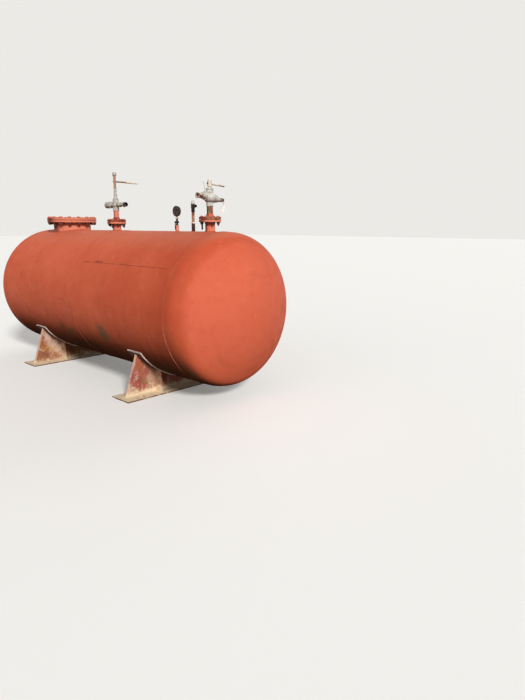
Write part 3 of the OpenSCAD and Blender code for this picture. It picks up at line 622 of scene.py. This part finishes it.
manway_bolt = 0.024
manway_pitch_diameter = 0.515
manway_middle, _, manway_low, _ = upright("manway_flange")
manway_top = upright("manway_cover")[3]
bolt_joint("manway_bolt", manway_middle, manway_top, manway_low, count=16, size=manway_bolt,
           pitch_diameter=manway_pitch_diameter, tails=(0.001, 0.006), head_paint=bolt_head_paint,
           nut_paint=nut_paint)

# Far nozzle. A DN 80 neck and two drilled flanges, drawn together by eight M16 bolts; the upper
# flange has gone brown, and the bolts' long tails show under the rim.
far_plate = 0.020
sandy_head_paint = rusted("sandy_bolt_head_paint", "#83452f", "#a8623f", paint="#bd7c5c", cover=0.6)
nozzle_bolts = {"count": 8, "size": 0.016, "pitch_diameter": 0.160, "head_paint": sandy_head_paint,
                "nut_paint": nut_steel}
dress(red_oxide("red_oxide_on_far_flange", chalk=0.45, rubbed=rim_levels("far_nozzle_flange")),
      "far_nozzle_flange")
dress(rusted("rust_stained_flange_paint", "#54231a", "#7d3424", paint="#a04a34", cover=0.40),
      "far_valve_flange")
dress(neck_paint, "far_valve_riser")
far_middle, _, far_low, _ = upright("far_nozzle_flange")
bolt_joint("far_nozzle_bolt", far_middle, upright("far_valve_flange")[2] + far_plate, far_low,
           tails=(0.006, 0.030), **nozzle_bolts)

# Far valve. An iron casting with a belly, a tapered neck and two branches, once brushed grey
# white; a gland tube above it holds a spindle post of bare steel with a tommy bar through it.
def final_mesh(rough):
    """The mesh that an object's modifiers or text give; the object itself goes."""
    mesh = bpy.data.meshes.new_from_object(rough.evaluated_get(bpy.context.evaluated_depsgraph_get()))
    bpy.data.objects.remove(rough)
    return mesh


def vectors_of(collection, attribute):
    """Array (n, 3) of one attribute of a mesh's points."""
    values = np.empty(len(collection) * 3)
    collection.foreach_get(attribute, values)
    return values.reshape(-1, 3)


def cast_copy(node, material, voxel, parting, ridge=0.0009):
    """A sand casting's skin over a CAD solid: its copy is remeshed and smoothed, so that joins
    run into each other, then pushed out along its normals by a ridge at the mould's joint,
    ridge e^-(d / 1.3 mm)^2 with d the distance from that plane, and by 0.2 mm of sine waves.
    parting gives the plane's axis, 0 for X or 1 for Y, and its place on that axis."""
    mesh = nodes[node].data.copy()
    work = bmesh.new()
    work.from_mesh(mesh)
    bmesh.ops.remove_doubles(work, verts=work.verts, dist=1e-5)
    work.to_mesh(mesh)
    work.free()
    rough = into_scene(node + "_rough", mesh)
    remesh = rough.modifiers.new("remesh", "REMESH")
    remesh.mode = "VOXEL"
    remesh.voxel_size = voxel
    smooth = rough.modifiers.new("smooth", "SMOOTH")
    smooth.factor = 0.5
    smooth.iterations = 5
    skin = final_mesh(rough)
    points = vectors_of(skin.vertices, "co")
    axis, level = parting
    lift = ridge * np.exp(-(((points[:, axis] - level) / 0.0013) ** 2))
    lift += 0.0002 * np.sin(points @ (410, 170, 90)) * np.sin(points @ (-120, 330, 260))
    pushed = points + vectors_of(skin.vertex_normals, "vector") * lift[:, None]
    skin.vertices.foreach_set("co", pushed.ravel())
    skin.polygons.foreach_set("use_smooth", np.ones(len(skin.polygons), bool))
    skin.materials.clear()
    skin.materials.append(material)
    piece = into_scene(node + "_casting", skin)
    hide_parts(node)
    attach(piece, "tank")


def weathered_paint(name, clean, stain, rust, stained=0.6, chipped=1.0):
    """Old pale paint on cast metal, dull and dusty: sand-cast grain of 3 mm, grey dirt in blots
    of 3 cm, brown undersides as painted shade, and small rust spots where it has chipped."""
    material, tree, shader, place = new_material(name)
    cast = grain(place, 330, roughness=0.6)
    dirt = grain(place, 34, 6, roughness=0.7)
    chips = grain(place, 75, 3)
    colour = coats(
        clean,
        (dirt, 0.40, 0.66, stained, stain),
        (cast, 0.55, 0.8, 0.4, stain),
        # Painted shade: faces turned down go brown.
        (facing_of(tree)["Z"], -0.1, -0.8, 0.75, "#4c382b"),
        (chips, 0.63, 0.69, chipped, rust))
    finish(shader, colour, (dirt, 0.42, 0.75),
           ((dirt, 0.0015), (cast, 0.0008), (chips, 0.0010)), 0.45)
    return material


crown = shell_high.z
valve_paint = weathered_paint("grey_white_valve_paint", "#bbb5aa", "#756c60", "#6b4a38")
black_iron = rusted("blackened_iron", "#191514", "#352c29")
cast_copy("far_valve_body", valve_paint, voxel=0.0018, parting=(1, 0.0))
dress(valve_paint, "far_valve_bonnet", "far_branch_cap")
dress(black_iron, "far_branch_socket")


def plus(value, other, share):
    """The value with a share of another added to it."""
    part = add(value.id_data, "Math", {0: other, 1: share}, operation="MULTIPLY")
    return add(value.id_data, "Math", {0: value, 1: part}, operation="ADD")


def frayed(value, noise, reach=0.05):
    """The value moved up and down by a noise, over this reach in all."""
    return plus(value, add(value.id_data, "Math", {0: noise, 1: 0.5}, operation="SUBTRACT"), reach)


# The post is bare brown steel below and carries the old grey paint on its cap nut.
def two_tone(name, first, second, axis, start, end):
    """Two finishes on one piece: the first below start, the second past end on this axis."""
    material, tree, shader, place = new_material(name)
    where = add(tree, "SeparateXYZ", {0: place}, out=None)
    patch = grain(place, 90)
    pits = grain(place, 300)
    low = coats(first[0], (pits, 0.35, 0.65, 1.0, first[1]))
    high = coats(second[0], (patch, 0.42, 0.62, 1.0, second[1]))
    colour = coat(low, high, (frayed(where[axis], patch), start, end))
    finish(shader, colour, (pits, 0.5, 0.8), ((pits, 0.0008),))
    return material


dress(two_tone("post_steel_and_cap_paint", ("#80563c", "#bb9172"), ("#bdb8ab", "#6c665b"),
               "Z", crown + 0.562, crown + 0.572), "far_valve_spindle")
dress(two_tone("bar_steel_and_worn_grip", ("#6b4a33", "#a0825c"), ("#efe9dc", "#b5ac9b"), "Y", 0.125, 0.150),
      "far_valve_bar")

# Near nozzle. The same neck and lower flange as the far one under a heavier flange with a tapered
# hub, bright orange on top and rusted brown round its rim; one bolt is far too long for it.
near_plate = 0.023
near_middle, near_rim, near_upper, _ = upright("near_valve_flange")


def rim_rust(name, middle, rim):
    """Orange primer that has given way to brown rust towards the rim of an upright flange, with
    painted shade on its faces turned to the far end and the front.
    """
    material, tree, shader, place = new_material(name)
    where = add(tree, "SeparateXYZ", {0: place}, out=None)
    off_middle = add(tree, "Math", {0: where["X"], 1: middle}, operation="SUBTRACT")
    level_place = add(tree, "CombineXYZ", {"X": off_middle, "Y": where["Y"]})
    reach = add(tree, "VectorMath", {0: level_place}, out="Value", operation="LENGTH")
    bloom = grain(place, 40, 5, roughness=0.65)
    pits = grain(place, 260, roughness=0.7)
    rust = coats("#6b2e20", (bloom, 0.40, 0.62, 1.0, "#a5693f"))
    paint = coats("#cc5b37", (pits, 0.45, 0.7, 0.6, "#94452c"))
    colour = coat(paint, rust, (plus(reach, bloom, 0.03), rim * 0.85, rim * 1.10))
    # Painted shade: faces turned to the far end and the front go dark red.
    colour = coats(colour, (turned_to(tree, painted_shade_side), 0.10, 0.55, 0.8, "#6a1f18"))
    finish(shader, colour, (pits, 0.6, 0.85), ((bloom, 0.0015), (pits, 0.0006)))
    return material


dress(rim_rust("rusting_flange_paint", near_middle, near_rim), "near_valve_flange")
dress(red_oxide("red_oxide_on_near_flange", chalk=0.55, rubbed=rim_levels("near_nozzle_flange")),
      "near_nozzle_flange")
# The riser carries painted shade on its faces turned to the far end and the front.
dress(rusted("rusted_riser_steel", "#5c3a2a", "#8e674b", paint="#a5805f", cover=0.35, shade_depth=0.85),
      "near_valve_riser")
bolt_joint("near_nozzle_bolt", near_middle, near_upper + near_plate, upright("near_nozzle_flange")[2],
           tails=(0.006, 0.016), long_one=(4, 0.045), **nozzle_bolts)

# Near valve. Its cast body has an open branch to the front and a plugged one to the back; the
# bolted bonnet guides a spindle, which carries a lever clamped on by a set screw.
near_valve_paint = weathered_paint("cleaner_valve_paint", "#d3cfc4", "#857d70", "#6b4a38")
cast_copy("near_valve_body", near_valve_paint, voxel=0.0018, parting=(0, near_middle))
cast_copy("near_valve_bonnet", near_valve_paint, voxel=0.0014, parting=(0, near_middle),
          ridge=0.0)
spindle_paint = weathered_paint("chalky_white_spindle_paint", "#e3dfd3", "#9b9488", "#7a5a46",
                                stained=0.35, chipped=0.35)
dress(spindle_paint, "near_valve_spindle")
dress(two_tone("handle_paint_and_bare_rod", ("#ece2d2", "#c3b29e"), ("#7a5140", "#a87c66"), "Y", 0.095, 0.115),
      "near_valve_handle")
dress(rusted("paint_flecked_pipe_steel", "#4a3127", "#7f5e4a", paint="#cdbcab", cover=0.55),
      "near_branch_pipe")
dress(two_tone("plug_steel", ("#9c8b7a", "#5a4638"), ("#2c211d", "#4a3830"), "Y", 0.145, 0.155),
      "near_branch_plug")

stud_count = 6
stud_ring_radius = 0.0315
stud_turn = (np.arange(stud_count) + 0.5) * 2 * np.pi / stud_count
stud_places = xyz(near_middle + stud_ring_radius * np.cos(stud_turn), stud_ring_radius * np.sin(stud_turn),
                  upright("near_valve_bonnet")[2])
stud_radius = 0.0028
stud = turned_bar([-0.006, 0.040], [stud_radius, stud_radius], 10)
stud_nuts = [hexagon(low, low + 0.005, chamfer=0.0005, end_radius=0.0048, corner_radius=0.0055, flats=0.0095)
             for low in (0.034, -0.005)]
make_piece("near_bonnet_studs", [copies(part, stud_places, stud_turn) for part in (stud, *stud_nuts)],
           near_valve_paint)

hub_height = 0.056
hub_front = 0.0055
spindle_radius = upright("near_valve_spindle")[1]
hub_middle_z = upright("near_valve_handle")[3] - hub_height / 2
screw_points, screw_faces = hexagon(0, 0.008, chamfer=0.001, end_radius=0.006, corner_radius=0.0075,
                                    flats=0.013)
x, y, z = screw_points.T
screw = xyz(near_middle + x, -spindle_radius - hub_front - z, hub_middle_z + y), screw_faces
make_piece("near_handle_screw", [screw], nut_steel, body="near_handle")


def bent_wire(points, radius, closed=False, steps=24):
    """Round wire on a smooth curve: a Catmull-Rom spline through the points."""
    count = len(points) if closed else len(points) - 1
    index = np.arange(count)[:, None] + np.array([[-1, 0, 1, 2]])
    index = index % len(points) if closed else np.clip(index, 0, len(points) - 1)
    a, b, c, d = (points[index[:, k]][:, None, :] for k in range(4))
    t = np.linspace(0, 1, steps, endpoint=False)[None, :, None]
    path = 0.5 * (2 * b + (c - a) * t + (2 * a - 5 * b + 4 * c - d) * t**2 + (3 * b - a - 3 * c + d) * t**3)
    path = path.reshape(-1, 3)
    if not closed:
        path = np.concatenate([path, points[-1:]])
    return tube(path, radius, np.broadcast_to((1.0, 0.0, 0.0), path.shape), closed)


def at_valve(*points):
    """Points by the near valve: along the tank from its middle, back, and above the crown."""
    return np.array(points) + (near_middle, 0, crown)


# A locking wire stands on the rim of the open branch's flange, and a strip of white plastic
# hangs from the plug on a loop of thin wire.
lock_wire = at_valve((0, -0.058, 0.345), (0, -0.058, 0.379), (-0.002, -0.062, 0.414), (-0.006, -0.074, 0.434))
strip_loop = at_valve((0, 0.152, 0.2955), (0, 0.165, 0.289), (0.001, 0.172, 0.262), (0, 0.171, 0.240),
                      (-0.001, 0.160, 0.255), (0, 0.148, 0.272), (0, 0.144, 0.289))
strip_low, strip_high = at_valve((0, 0.157, 0.167), (0, 0.174, 0.243))
lock_wire_radius = 0.0022
loop_wire_radius = 0.0009
wire_crease_deg = 60
make_piece("near_lock_wire", [bent_wire(lock_wire, lock_wire_radius)], valve_paint,
           crease_deg=wire_crease_deg)
make_piece("near_strip_loop", [bent_wire(strip_loop, loop_wire_radius, closed=True)], nut_steel,
           crease_deg=wire_crease_deg)

# Thin white polyethylene, yellowed a little and creased where it bends: soft sheen, no metal.
strip_plastic, tree, shader, place = new_material("white_polyethylene_strip")
crease = grain(place, 60, squeeze=(1, 1, 2.5))
finish(shader, coats("#fbe4d8", (crease, 0.50, 0.75, 0.6, "#e8cabb")), 0.42, ((crease, 0.0003),))


def hanging_strip(low, high, width, thickness, rows=24):
    """A flat strip from high to low: its middle line bows by 4 mm sin(pi v), it twists from 0.6
    to 1.1 radian, and its edges are cupped; each row is an oblong of this width and thickness."""
    v = np.linspace(0, 1, rows)
    line = high + np.outer(v, low - high) + np.outer(np.sin(np.pi * v), (0.004, 0, 0))
    side = xyz(np.cos(0.60 + 0.5 * v), np.sin(0.60 + 0.5 * v), 0)
    face = np.cross(side, (low - high) / np.linalg.norm(low - high))
    cup = 0.0012
    corners = [line + side * (a * width / 2) + face * (b * thickness / 2 + cup * abs(a))
               for a, b in ((-1, -1), (0, -1), (1, -1), (1, 1), (0, 1), (-1, 1))]
    return ring_stack(np.stack(corners, axis=1))


strip_width = 0.015
strip_thickness = 0.0008
make_piece("near_plastic_strip", [hanging_strip(strip_low, strip_high, strip_width, strip_thickness)],
           strip_plastic)

# Gauge. A 100 mm dial gauge in a blackened case that faces the tank's front side; its dial has
# browned behind a dirty glass. It screws into a plug cock on a painted stub.
dial_low, dial_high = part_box("gauge_dial")
dial_middle = (dial_low + dial_high) / 2
dial_radius = (dial_high.x - dial_low.x) / 2
case_enamel = rusted("blackened_case_enamel", "#1d1614", "#382722", paint="#4c3128", cover=0.15, shine=0.45)
dress(case_enamel, "gauge_case")
dress(red_oxide("red_oxide_on_gauge_stub", chalk=0.75), "gauge_stub")
cast_copy("gauge_cock", black_iron, voxel=0.0012, parting=(0, dial_middle.x), ridge=0.0006)

# Tin-plate dial printed matt, stained brown by water that has run down behind the glass.
dial_enamel, tree, shader, place = new_material("browned_dial_enamel")
stain = grain(place, 55, 6, squeeze=(2.2, 1, 0.7), roughness=0.65)
finish(shader, coats("#5c3f33", (stain, 0.36, 0.64, 1.0, "#271713")), (stain, 0.5, 0.8),
       ((stain, 0.0004),), 0.08)
dress(dial_enamel, "gauge_dial")

# Black printing ink, dull and worn through in places.
dial_ink, tree, shader, place = new_material("black_printing_ink")
finish(shader, coats("#17110f", (grain(place, 400, 3), 0.55, 0.7, 1.0, "#4a3831")), 0.6)

scale_start_deg = 225
scale_sweep_deg = 270
scale_steps = 25


def on_dial(points, lift=0.0):
    """Points (right, up, out) of the dial's face set in place: right is +X, up is +Z and out is
    -Y from the dial's front, lifted by this much."""
    right, up, out = points.T
    return xyz(dial_middle.x + right, dial_low.y - lift - out, dial_middle.z + up)


def dial_plate(corners, lift=0.0, depth=0.0003):
    """A thin flat plate on the dial, from its corners (right, up)."""
    right, up = np.transpose(corners)
    return ring_stack(np.stack([on_dial(xyz(right, up, level), lift) for level in (0.0, depth)]))


def dial_turned(profile, steps):
    """Round form about the dial's middle, through these pairs of level and radius."""
    turn = once_round(steps)
    return ring_stack(np.stack([on_dial(xyz(radius * np.cos(turn), radius * np.sin(turn), level))
                                for level, radius in profile]))


def dial_directions(mark):
    """Outward and sideways direction of a mark on the scale, from 0 to 1 along its sweep."""
    lean = np.radians(scale_start_deg - scale_sweep_deg * mark)
    return np.array([np.cos(lean), np.sin(lean)]), np.array([-np.sin(lean), np.cos(lean)])


number_size = 0.0115
number_depth = 0.00015
number_ring = 0.62 * dial_radius
scale = []
for k in range(scale_steps + 1):
    outward, aside = dial_directions(k / scale_steps)
    major = k % 5 == 0
    outer, inner = 0.92 * dial_radius, (0.78 if major else 0.84) * dial_radius
    half = 0.0008 if major else 0.0004
    scale.append(dial_plate([outward * reach + aside * half * hand for reach, hand in
                             ((inner, -1), (inner, 1), (outer, 1), (outer, -1))]))
    if major:
        text = bpy.data.curves.new("number", "FONT")
        text.body = str(k)
        text.size = number_size
        text.extrude = number_depth
        text.align_x = "CENTER"
        text.align_y = "CENTER"
        number = final_mesh(into_scene("number", text))
        points = vectors_of(number.vertices, "co") + np.array([*(outward * number_ring), number_depth])
        scale.append((on_dial(points), [list(face.vertices) for face in number.polygons]))
make_piece("gauge_scale", scale, dial_ink)

outward, aside = dial_directions(0)
needle = dial_plate([outward * reach + aside * half for reach, half in
                     ((-0.012, -0.0022), (-0.012, 0.0022), (0.030, 0.0009), (0.036, 0), (0.030, -0.0009))],
                    lift=0.0014, depth=0.0004)
boss = dial_turned(((0.0, 0.004), (0.0022, 0.004), (0.0028, 0.003)), 24)
make_piece("gauge_needle", [needle, boss], dial_ink)

# Window glass under a film of dust: clear, with a weak, soft and broken shine instead of a clean
# one, so that the browned dial shows through it.
dusty_glass, tree, shader, place = new_material("dusty_window_glass")
film = mask((grain(place, 70, 5), 0.35, 0.7, 0.10, 0.42))
fill(shader, {"Base Color": "#cbbcb0", "Transmission Weight": 0.96, "IOR": 1.22, "Roughness": film})
glass_profile = ((0.0030, 0.02), (0.0030, 0.999), (0.0042, 0.999), (0.0052, 0.80), (0.0059, 0.50),
                 (0.0062, 0.20), (0.0062, 0.02))
glass = dial_turned([(level, dial_radius * share) for level, share in glass_profile], 64)
make_piece("gauge_glass", [glass], dusty_glass, crease_deg=40)

# The bezel is a spun ring, rounded over and snapped on the case; its enamel is worn at the front.
bezel_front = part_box("gauge_case")[0].y + 0.0012
bezel_radius = 0.0475
section, turn = once_round(16), once_round(72)[:, None]
reach = bezel_radius + 0.0024 * np.cos(section)
bezel = xyz(dial_middle.x + reach * np.cos(turn), bezel_front + 0.0017 * np.sin(section),
            dial_middle.z + reach * np.sin(turn))
make_piece("gauge_bezel", [ring_stack(bezel, closed=True)], case_enamel, crease_deg=60)

# A pale brass nut closes the stem's thread under the case.
brass, tree, shader, place = new_material("weathered_brass")
tarnish = grain(place, 120, 5)
finish(shader, coats("#d9c3a6", (tarnish, 0.40, 0.66, 1.0, "#8d7256")), (tarnish, 0.35, 0.6),
       ((tarnish, 0.0003),))
fill(shader, {"Metallic": 0.6})
stem_nut = hexagon(0, 0.014, chamfer=0.0015, end_radius=0.0135, corner_radius=0.015, flats=0.027)
stem_nut_level = crown + 0.1165
make_piece("gauge_stem_nut", [copies(stem_nut, [(dial_middle.x, 0, stem_nut_level)], turns=0.3)], brass)

# Vent. A brown pipe locked in a black sleeve by a pale ring nut; it carries a black body with a
# side outlet and a domed cap of chalky pale paint.
vent_middle, _, _, sleeve_top = upright("vent_sleeve")
dress(rusted("tarred_sleeve_steel", "#2a1412", "#55302a"), "vent_sleeve")
cast_copy("vent_body", black_iron, voxel=0.0012, parting=(1, 0.0), ridge=0.0006)
dress(rusted("rusted_vent_pipe", "#8a5538", "#bd8359", paint="#cb9974", cover=0.3), "vent_pipe")
dress(weathered_paint("chalky_pale_cap_paint", "#d3cec7", "#8f8a84", "#5c4a40", stained=0.45), "vent_cap")
ring_nut = hexagon(0, 0.0104, chamfer=0.0012, end_radius=0.0180, corner_radius=0.0200, flats=0.0365)
make_piece("vent_ring_nut", [copies(ring_nut, [(vent_middle, 0, sleeve_top - 0.0005)], turns=0.2)],
           spindle_paint)

# Saddles. Each is cut from plate and fillet welded: a wear plate under the shell, an upright web
# with pointed horns, four ribs and a base plate, primed red, worn to rust and silted with sand.
foot_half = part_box("saddle_near_web")[1].y
horn_lean = 0.335


def saddle_paint(name, paint, worn, rust, scratch=0.0, rusty=0.35, sand_high=0.05, patches=()):
    """Old primer on a saddle plate, quite matt: upright scratches and rust in blots of 8 cm and
    specks of 8 mm, plate edges scoured pale, sand at the foot. patches lists marks on the face
    towards +X: middle and half size in Y and Z, colour and depth."""
    material, tree, shader, place = new_material(name)
    where = add(tree, "SeparateXYZ", {0: place}, out=None)
    blot = grain(place, 12, 6, roughness=0.7)
    run = grain(place, 24, 5, squeeze=(1, 1, 0.16), roughness=0.6)
    speck = grain(place, 120, roughness=0.7)
    colour = coats(paint, (blot, 0.36, 0.62, 0.8, worn), (run, 0.585, 0.66, scratch, "#e6c4b4"))
    rust_here = mask((plus(blot, where["Z"], -0.25), 0.52 - rusty * 0.3, 0.62 - rusty * 0.3))
    colour = coat(colour, rust, rust_here, (speck, 0.35, 0.55, 0.4, 1.0))
    colour = coat(colour, "#d3a35c", rust_here, (speck, 0.56, 0.66, 0, 0.7))
    off_middle = add(tree, "Math", {0: where["Y"]}, operation="ABSOLUTE")
    edge = frayed(plus(off_middle, where["Z"], horn_lean), blot)
    colour = coats(colour, (edge, foot_half - 0.016, foot_half - 0.004, 0.70, "#e2bfa8"))
    front = mask((facing_of(tree)["X"], 0.2, 0.5))
    crumbs = grain(place, 48, roughness=0.8)
    ragged = strayed(place, 0.26, 16)
    for middle, half_size, tint, depth in patches:
        shape = spot(ragged, (0, *middle), (10, *half_size))
        colour = coat(colour, tint, shape, (crumbs, 0.40, 0.58, depth * 0.3, depth), front)
    heap = add(tree, "Math", {0: blot, 1: 0.25}, operation="MULTIPLY")
    silt = add(tree, "Math", {0: heap, 1: where["Z"]}, operation="SUBTRACT")
    sand = coats("#ecd7ba", (speck, 0.42, 0.62, 1.0, "#cdb08c"))
    colour = coat(colour, sand, (silt, sand_high - 0.03, sand_high + 0.03))
    finish(shader, colour, (blot, 0.7, 0.92), ((blot, 0.004), (run, 0.001), (speck, 0.0012)), 0.25)
    return material


near_marks = (((-0.520, 0.300), (0.09, 0.11), "#a85c3c", 0.8), ((-0.620, 0.190), (0.05, 0.13), "#99474a", 0.8),
              ((-0.551, 0.140), (0.06, 0.09), "#a04844", 0.9), ((-0.586, 0.200), (0.014, 0.08), "#e2c2b2", 1.0),
              ((-0.655, 0.080), (0.07, 0.10), "#d8c0a3", 0.95), ((-0.390, 0.120), (0.10, 0.19), "#c9ab90", 0.9))
far_marks = (((-0.575, 0.225), (0.06, 0.09), "#b3602f", 0.9), ((-0.500, 0.215), (0.08, 0.08), "#c48f80", 0.8),
             ((-0.530, 0.300), (0.06, 0.08), "#d6b9a3", 0.9), ((-0.450, 0.215), (0.08, 0.09), "#d9bda6", 0.9),
             ((-0.385, 0.130), (0.08, 0.12), "#d9bfa6", 0.95), ((-0.500, 0.145), (0.14, 0.05), "#c58d48", 0.85),
             ((-0.565, 0.095), (0.11, 0.07), "#8a5140", 0.95), ((-0.440, 0.075), (0.09, 0.05), "#a06a3a", 0.85))
near_web_paint = saddle_paint("flaking_red_web_paint", "#aa5548", "#bf7b58", "#8a5238", scratch=0.6, rusty=0.34,
                              sand_high=0.075, patches=near_marks)
far_web_paint = saddle_paint("rust_eaten_web_paint", "#c9a18b", "#b38160", "#8a5230", scratch=0.35, rusty=0.55,
                             sand_high=0.105, patches=far_marks)
dress(near_web_paint, "saddle_near_web")
dress(far_web_paint, "saddle_far_web")
dress(saddle_paint("silted_rib_paint", "#b59078", "#cbac92", "#8a6148", scratch=0.4),
      "saddle_near_ribs", "saddle_far_ribs")

# The wear plates' faces are painted near black, as painted shade under the shell, and their cut
# edges, which catch every boot and rope, are pale, partly rubbed and partly painted highlight.
wear_plate_paint, tree, shader, place = new_material("wear_plate_painted_shade_and_highlight")
facing = facing_of(tree)
blot = grain(place, 12, 6, roughness=0.7)
speck = grain(place, 120, roughness=0.7)
end_on = mask((add(tree, "Math", {0: facing["X"]}, operation="ABSOLUTE"), 0.25, 0.55))
rubbed_and_lit_edge = add(tree, "Math", {0: end_on, 1: mask((facing["Z"], 0.2, 0.5))}, operation="MAXIMUM")
colour = coats("#55291d", (blot, 0.35, 0.65, 1.0, "#2f1a13"))
colour = coat(colour, "#f7dccd", rubbed_and_lit_edge, (speck, 0.45, 0.65, 1.0, 0.8))
finish(shader, colour, 0.8, ((blot, 0.002), (speck, 0.0010)), 0.25)
dress(wear_plate_paint, "saddle_near_wear_plate", "saddle_far_wear_plate")

# The base plates lie in silt: trodden sand clings to their tops and their edges flake with rust.
base_paint, tree, shader, place = new_material("silted_base_plate")
drift = grain(place, 9, 6, roughness=0.65)
sand_grain = grain(place, 500, 3, roughness=0.8)
rust = coats("#5c3a2a", (sand_grain, 0.4, 0.6, 1.0, "#8d6247"))
sand = coats("#d2b992", (sand_grain, 0.38, 0.62, 1.0, "#f2dfbf"))
on_top = mask((facing_of(tree)["Z"], 0.5, 0.9), (drift, 0.28, 0.42, 0.60, 1.0))
cover = add(tree, "Math", {0: on_top, 1: mask((drift, 0.56, 0.66, 0, 0.7))}, operation="MAXIMUM")
finish(shader, coat(rust, sand, cover), 0.93, ((drift, 0.004), (sand_grain, 0.0008)), 0.2)
dress(base_paint, "saddle_near_base", "saddle_far_base")

# The fillets sink a little into the plates that they join.
saddle_leg = 0.0045
fillet_inset = saddle_leg * 0.3
wear_half_deg = 55.5
horn_half_deg = 52.5
rib_thickness = 0.010


def straight(start, end, out):
    """Fillet on the straight line from start to end, with its out direction."""
    start, end = np.array(start, float), np.array(end, float)
    def place_at(run):
        return start + (end - start) * run[:, None], np.broadcast_to(np.array(out, float), (len(run), 3))
    return weld_run(place_at, np.linalg.norm(end - start), saddle_leg)


def under_arc(x, radius, half_deg):
    """Fillet round the underside of the shell at x, half_deg to each side of straight down."""
    def place_at(run):
        lean = np.radians(half_deg) * (2 * run - 1)
        out = xyz(0, np.sin(lean), -np.cos(lean))
        return (x, 0, axis_height) + radius * out, out
    return weld_run(place_at, 2 * np.radians(half_deg) * radius, saddle_leg)


for side, body_paint in (("near", near_web_paint), ("far", far_web_paint)):
    (wear_low, wear_high), (web_low, web_high), (rib_low, rib_high) = (
        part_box("saddle_%s_%s" % (side, part)) for part in ("wear_plate", "web", "ribs"))
    wear_radius = axis_height - wear_low.z
    rib_y = rib_high.y - rib_thickness / 2
    rib_top = axis_height - np.sqrt(wear_radius**2 - rib_y**2)
    foot = web_low.z + 0.001
    end_lean = np.radians(wear_half_deg) + 0.002
    shell_runs = [under_arc(x, tank_radius, wear_half_deg) for x in (wear_low.x - 0.001, wear_high.x + 0.001)]
    for hand in (-1, 1):
        end = hand * tank_radius * np.sin(end_lean), axis_height - tank_radius * np.cos(end_lean)
        shell_runs.append(straight((wear_low.x, *end), (wear_high.x, *end), (0, hand, 0.3)))
    make_weld("saddle_%s_shell_welds" % side, shell_runs, wear_plate_paint)
    frame_runs = []
    for out, face, tip in ((-1, web_low.x - fillet_inset, rib_low.x),
                           (1, web_high.x + fillet_inset, rib_high.x)):
        frame_runs += [under_arc(face, wear_radius + 0.001, horn_half_deg),
                       straight((face, -foot_half + 0.002, foot), (face, foot_half - 0.002, foot), (out, 0, 1))]
        for middle in (-rib_y, rib_y):
            for y in (middle - rib_thickness / 2 - fillet_inset, middle + rib_thickness / 2 + fillet_inset):
                frame_runs += [straight((face, y, foot + 0.014), (face, y, rib_top), (out, 0, 0)),
                               straight((face + out * 0.015, y, foot), (tip, y, foot), (0, 0, 1))]
    make_weld("saddle_%s_frame_welds" % side, frame_runs, body_paint)
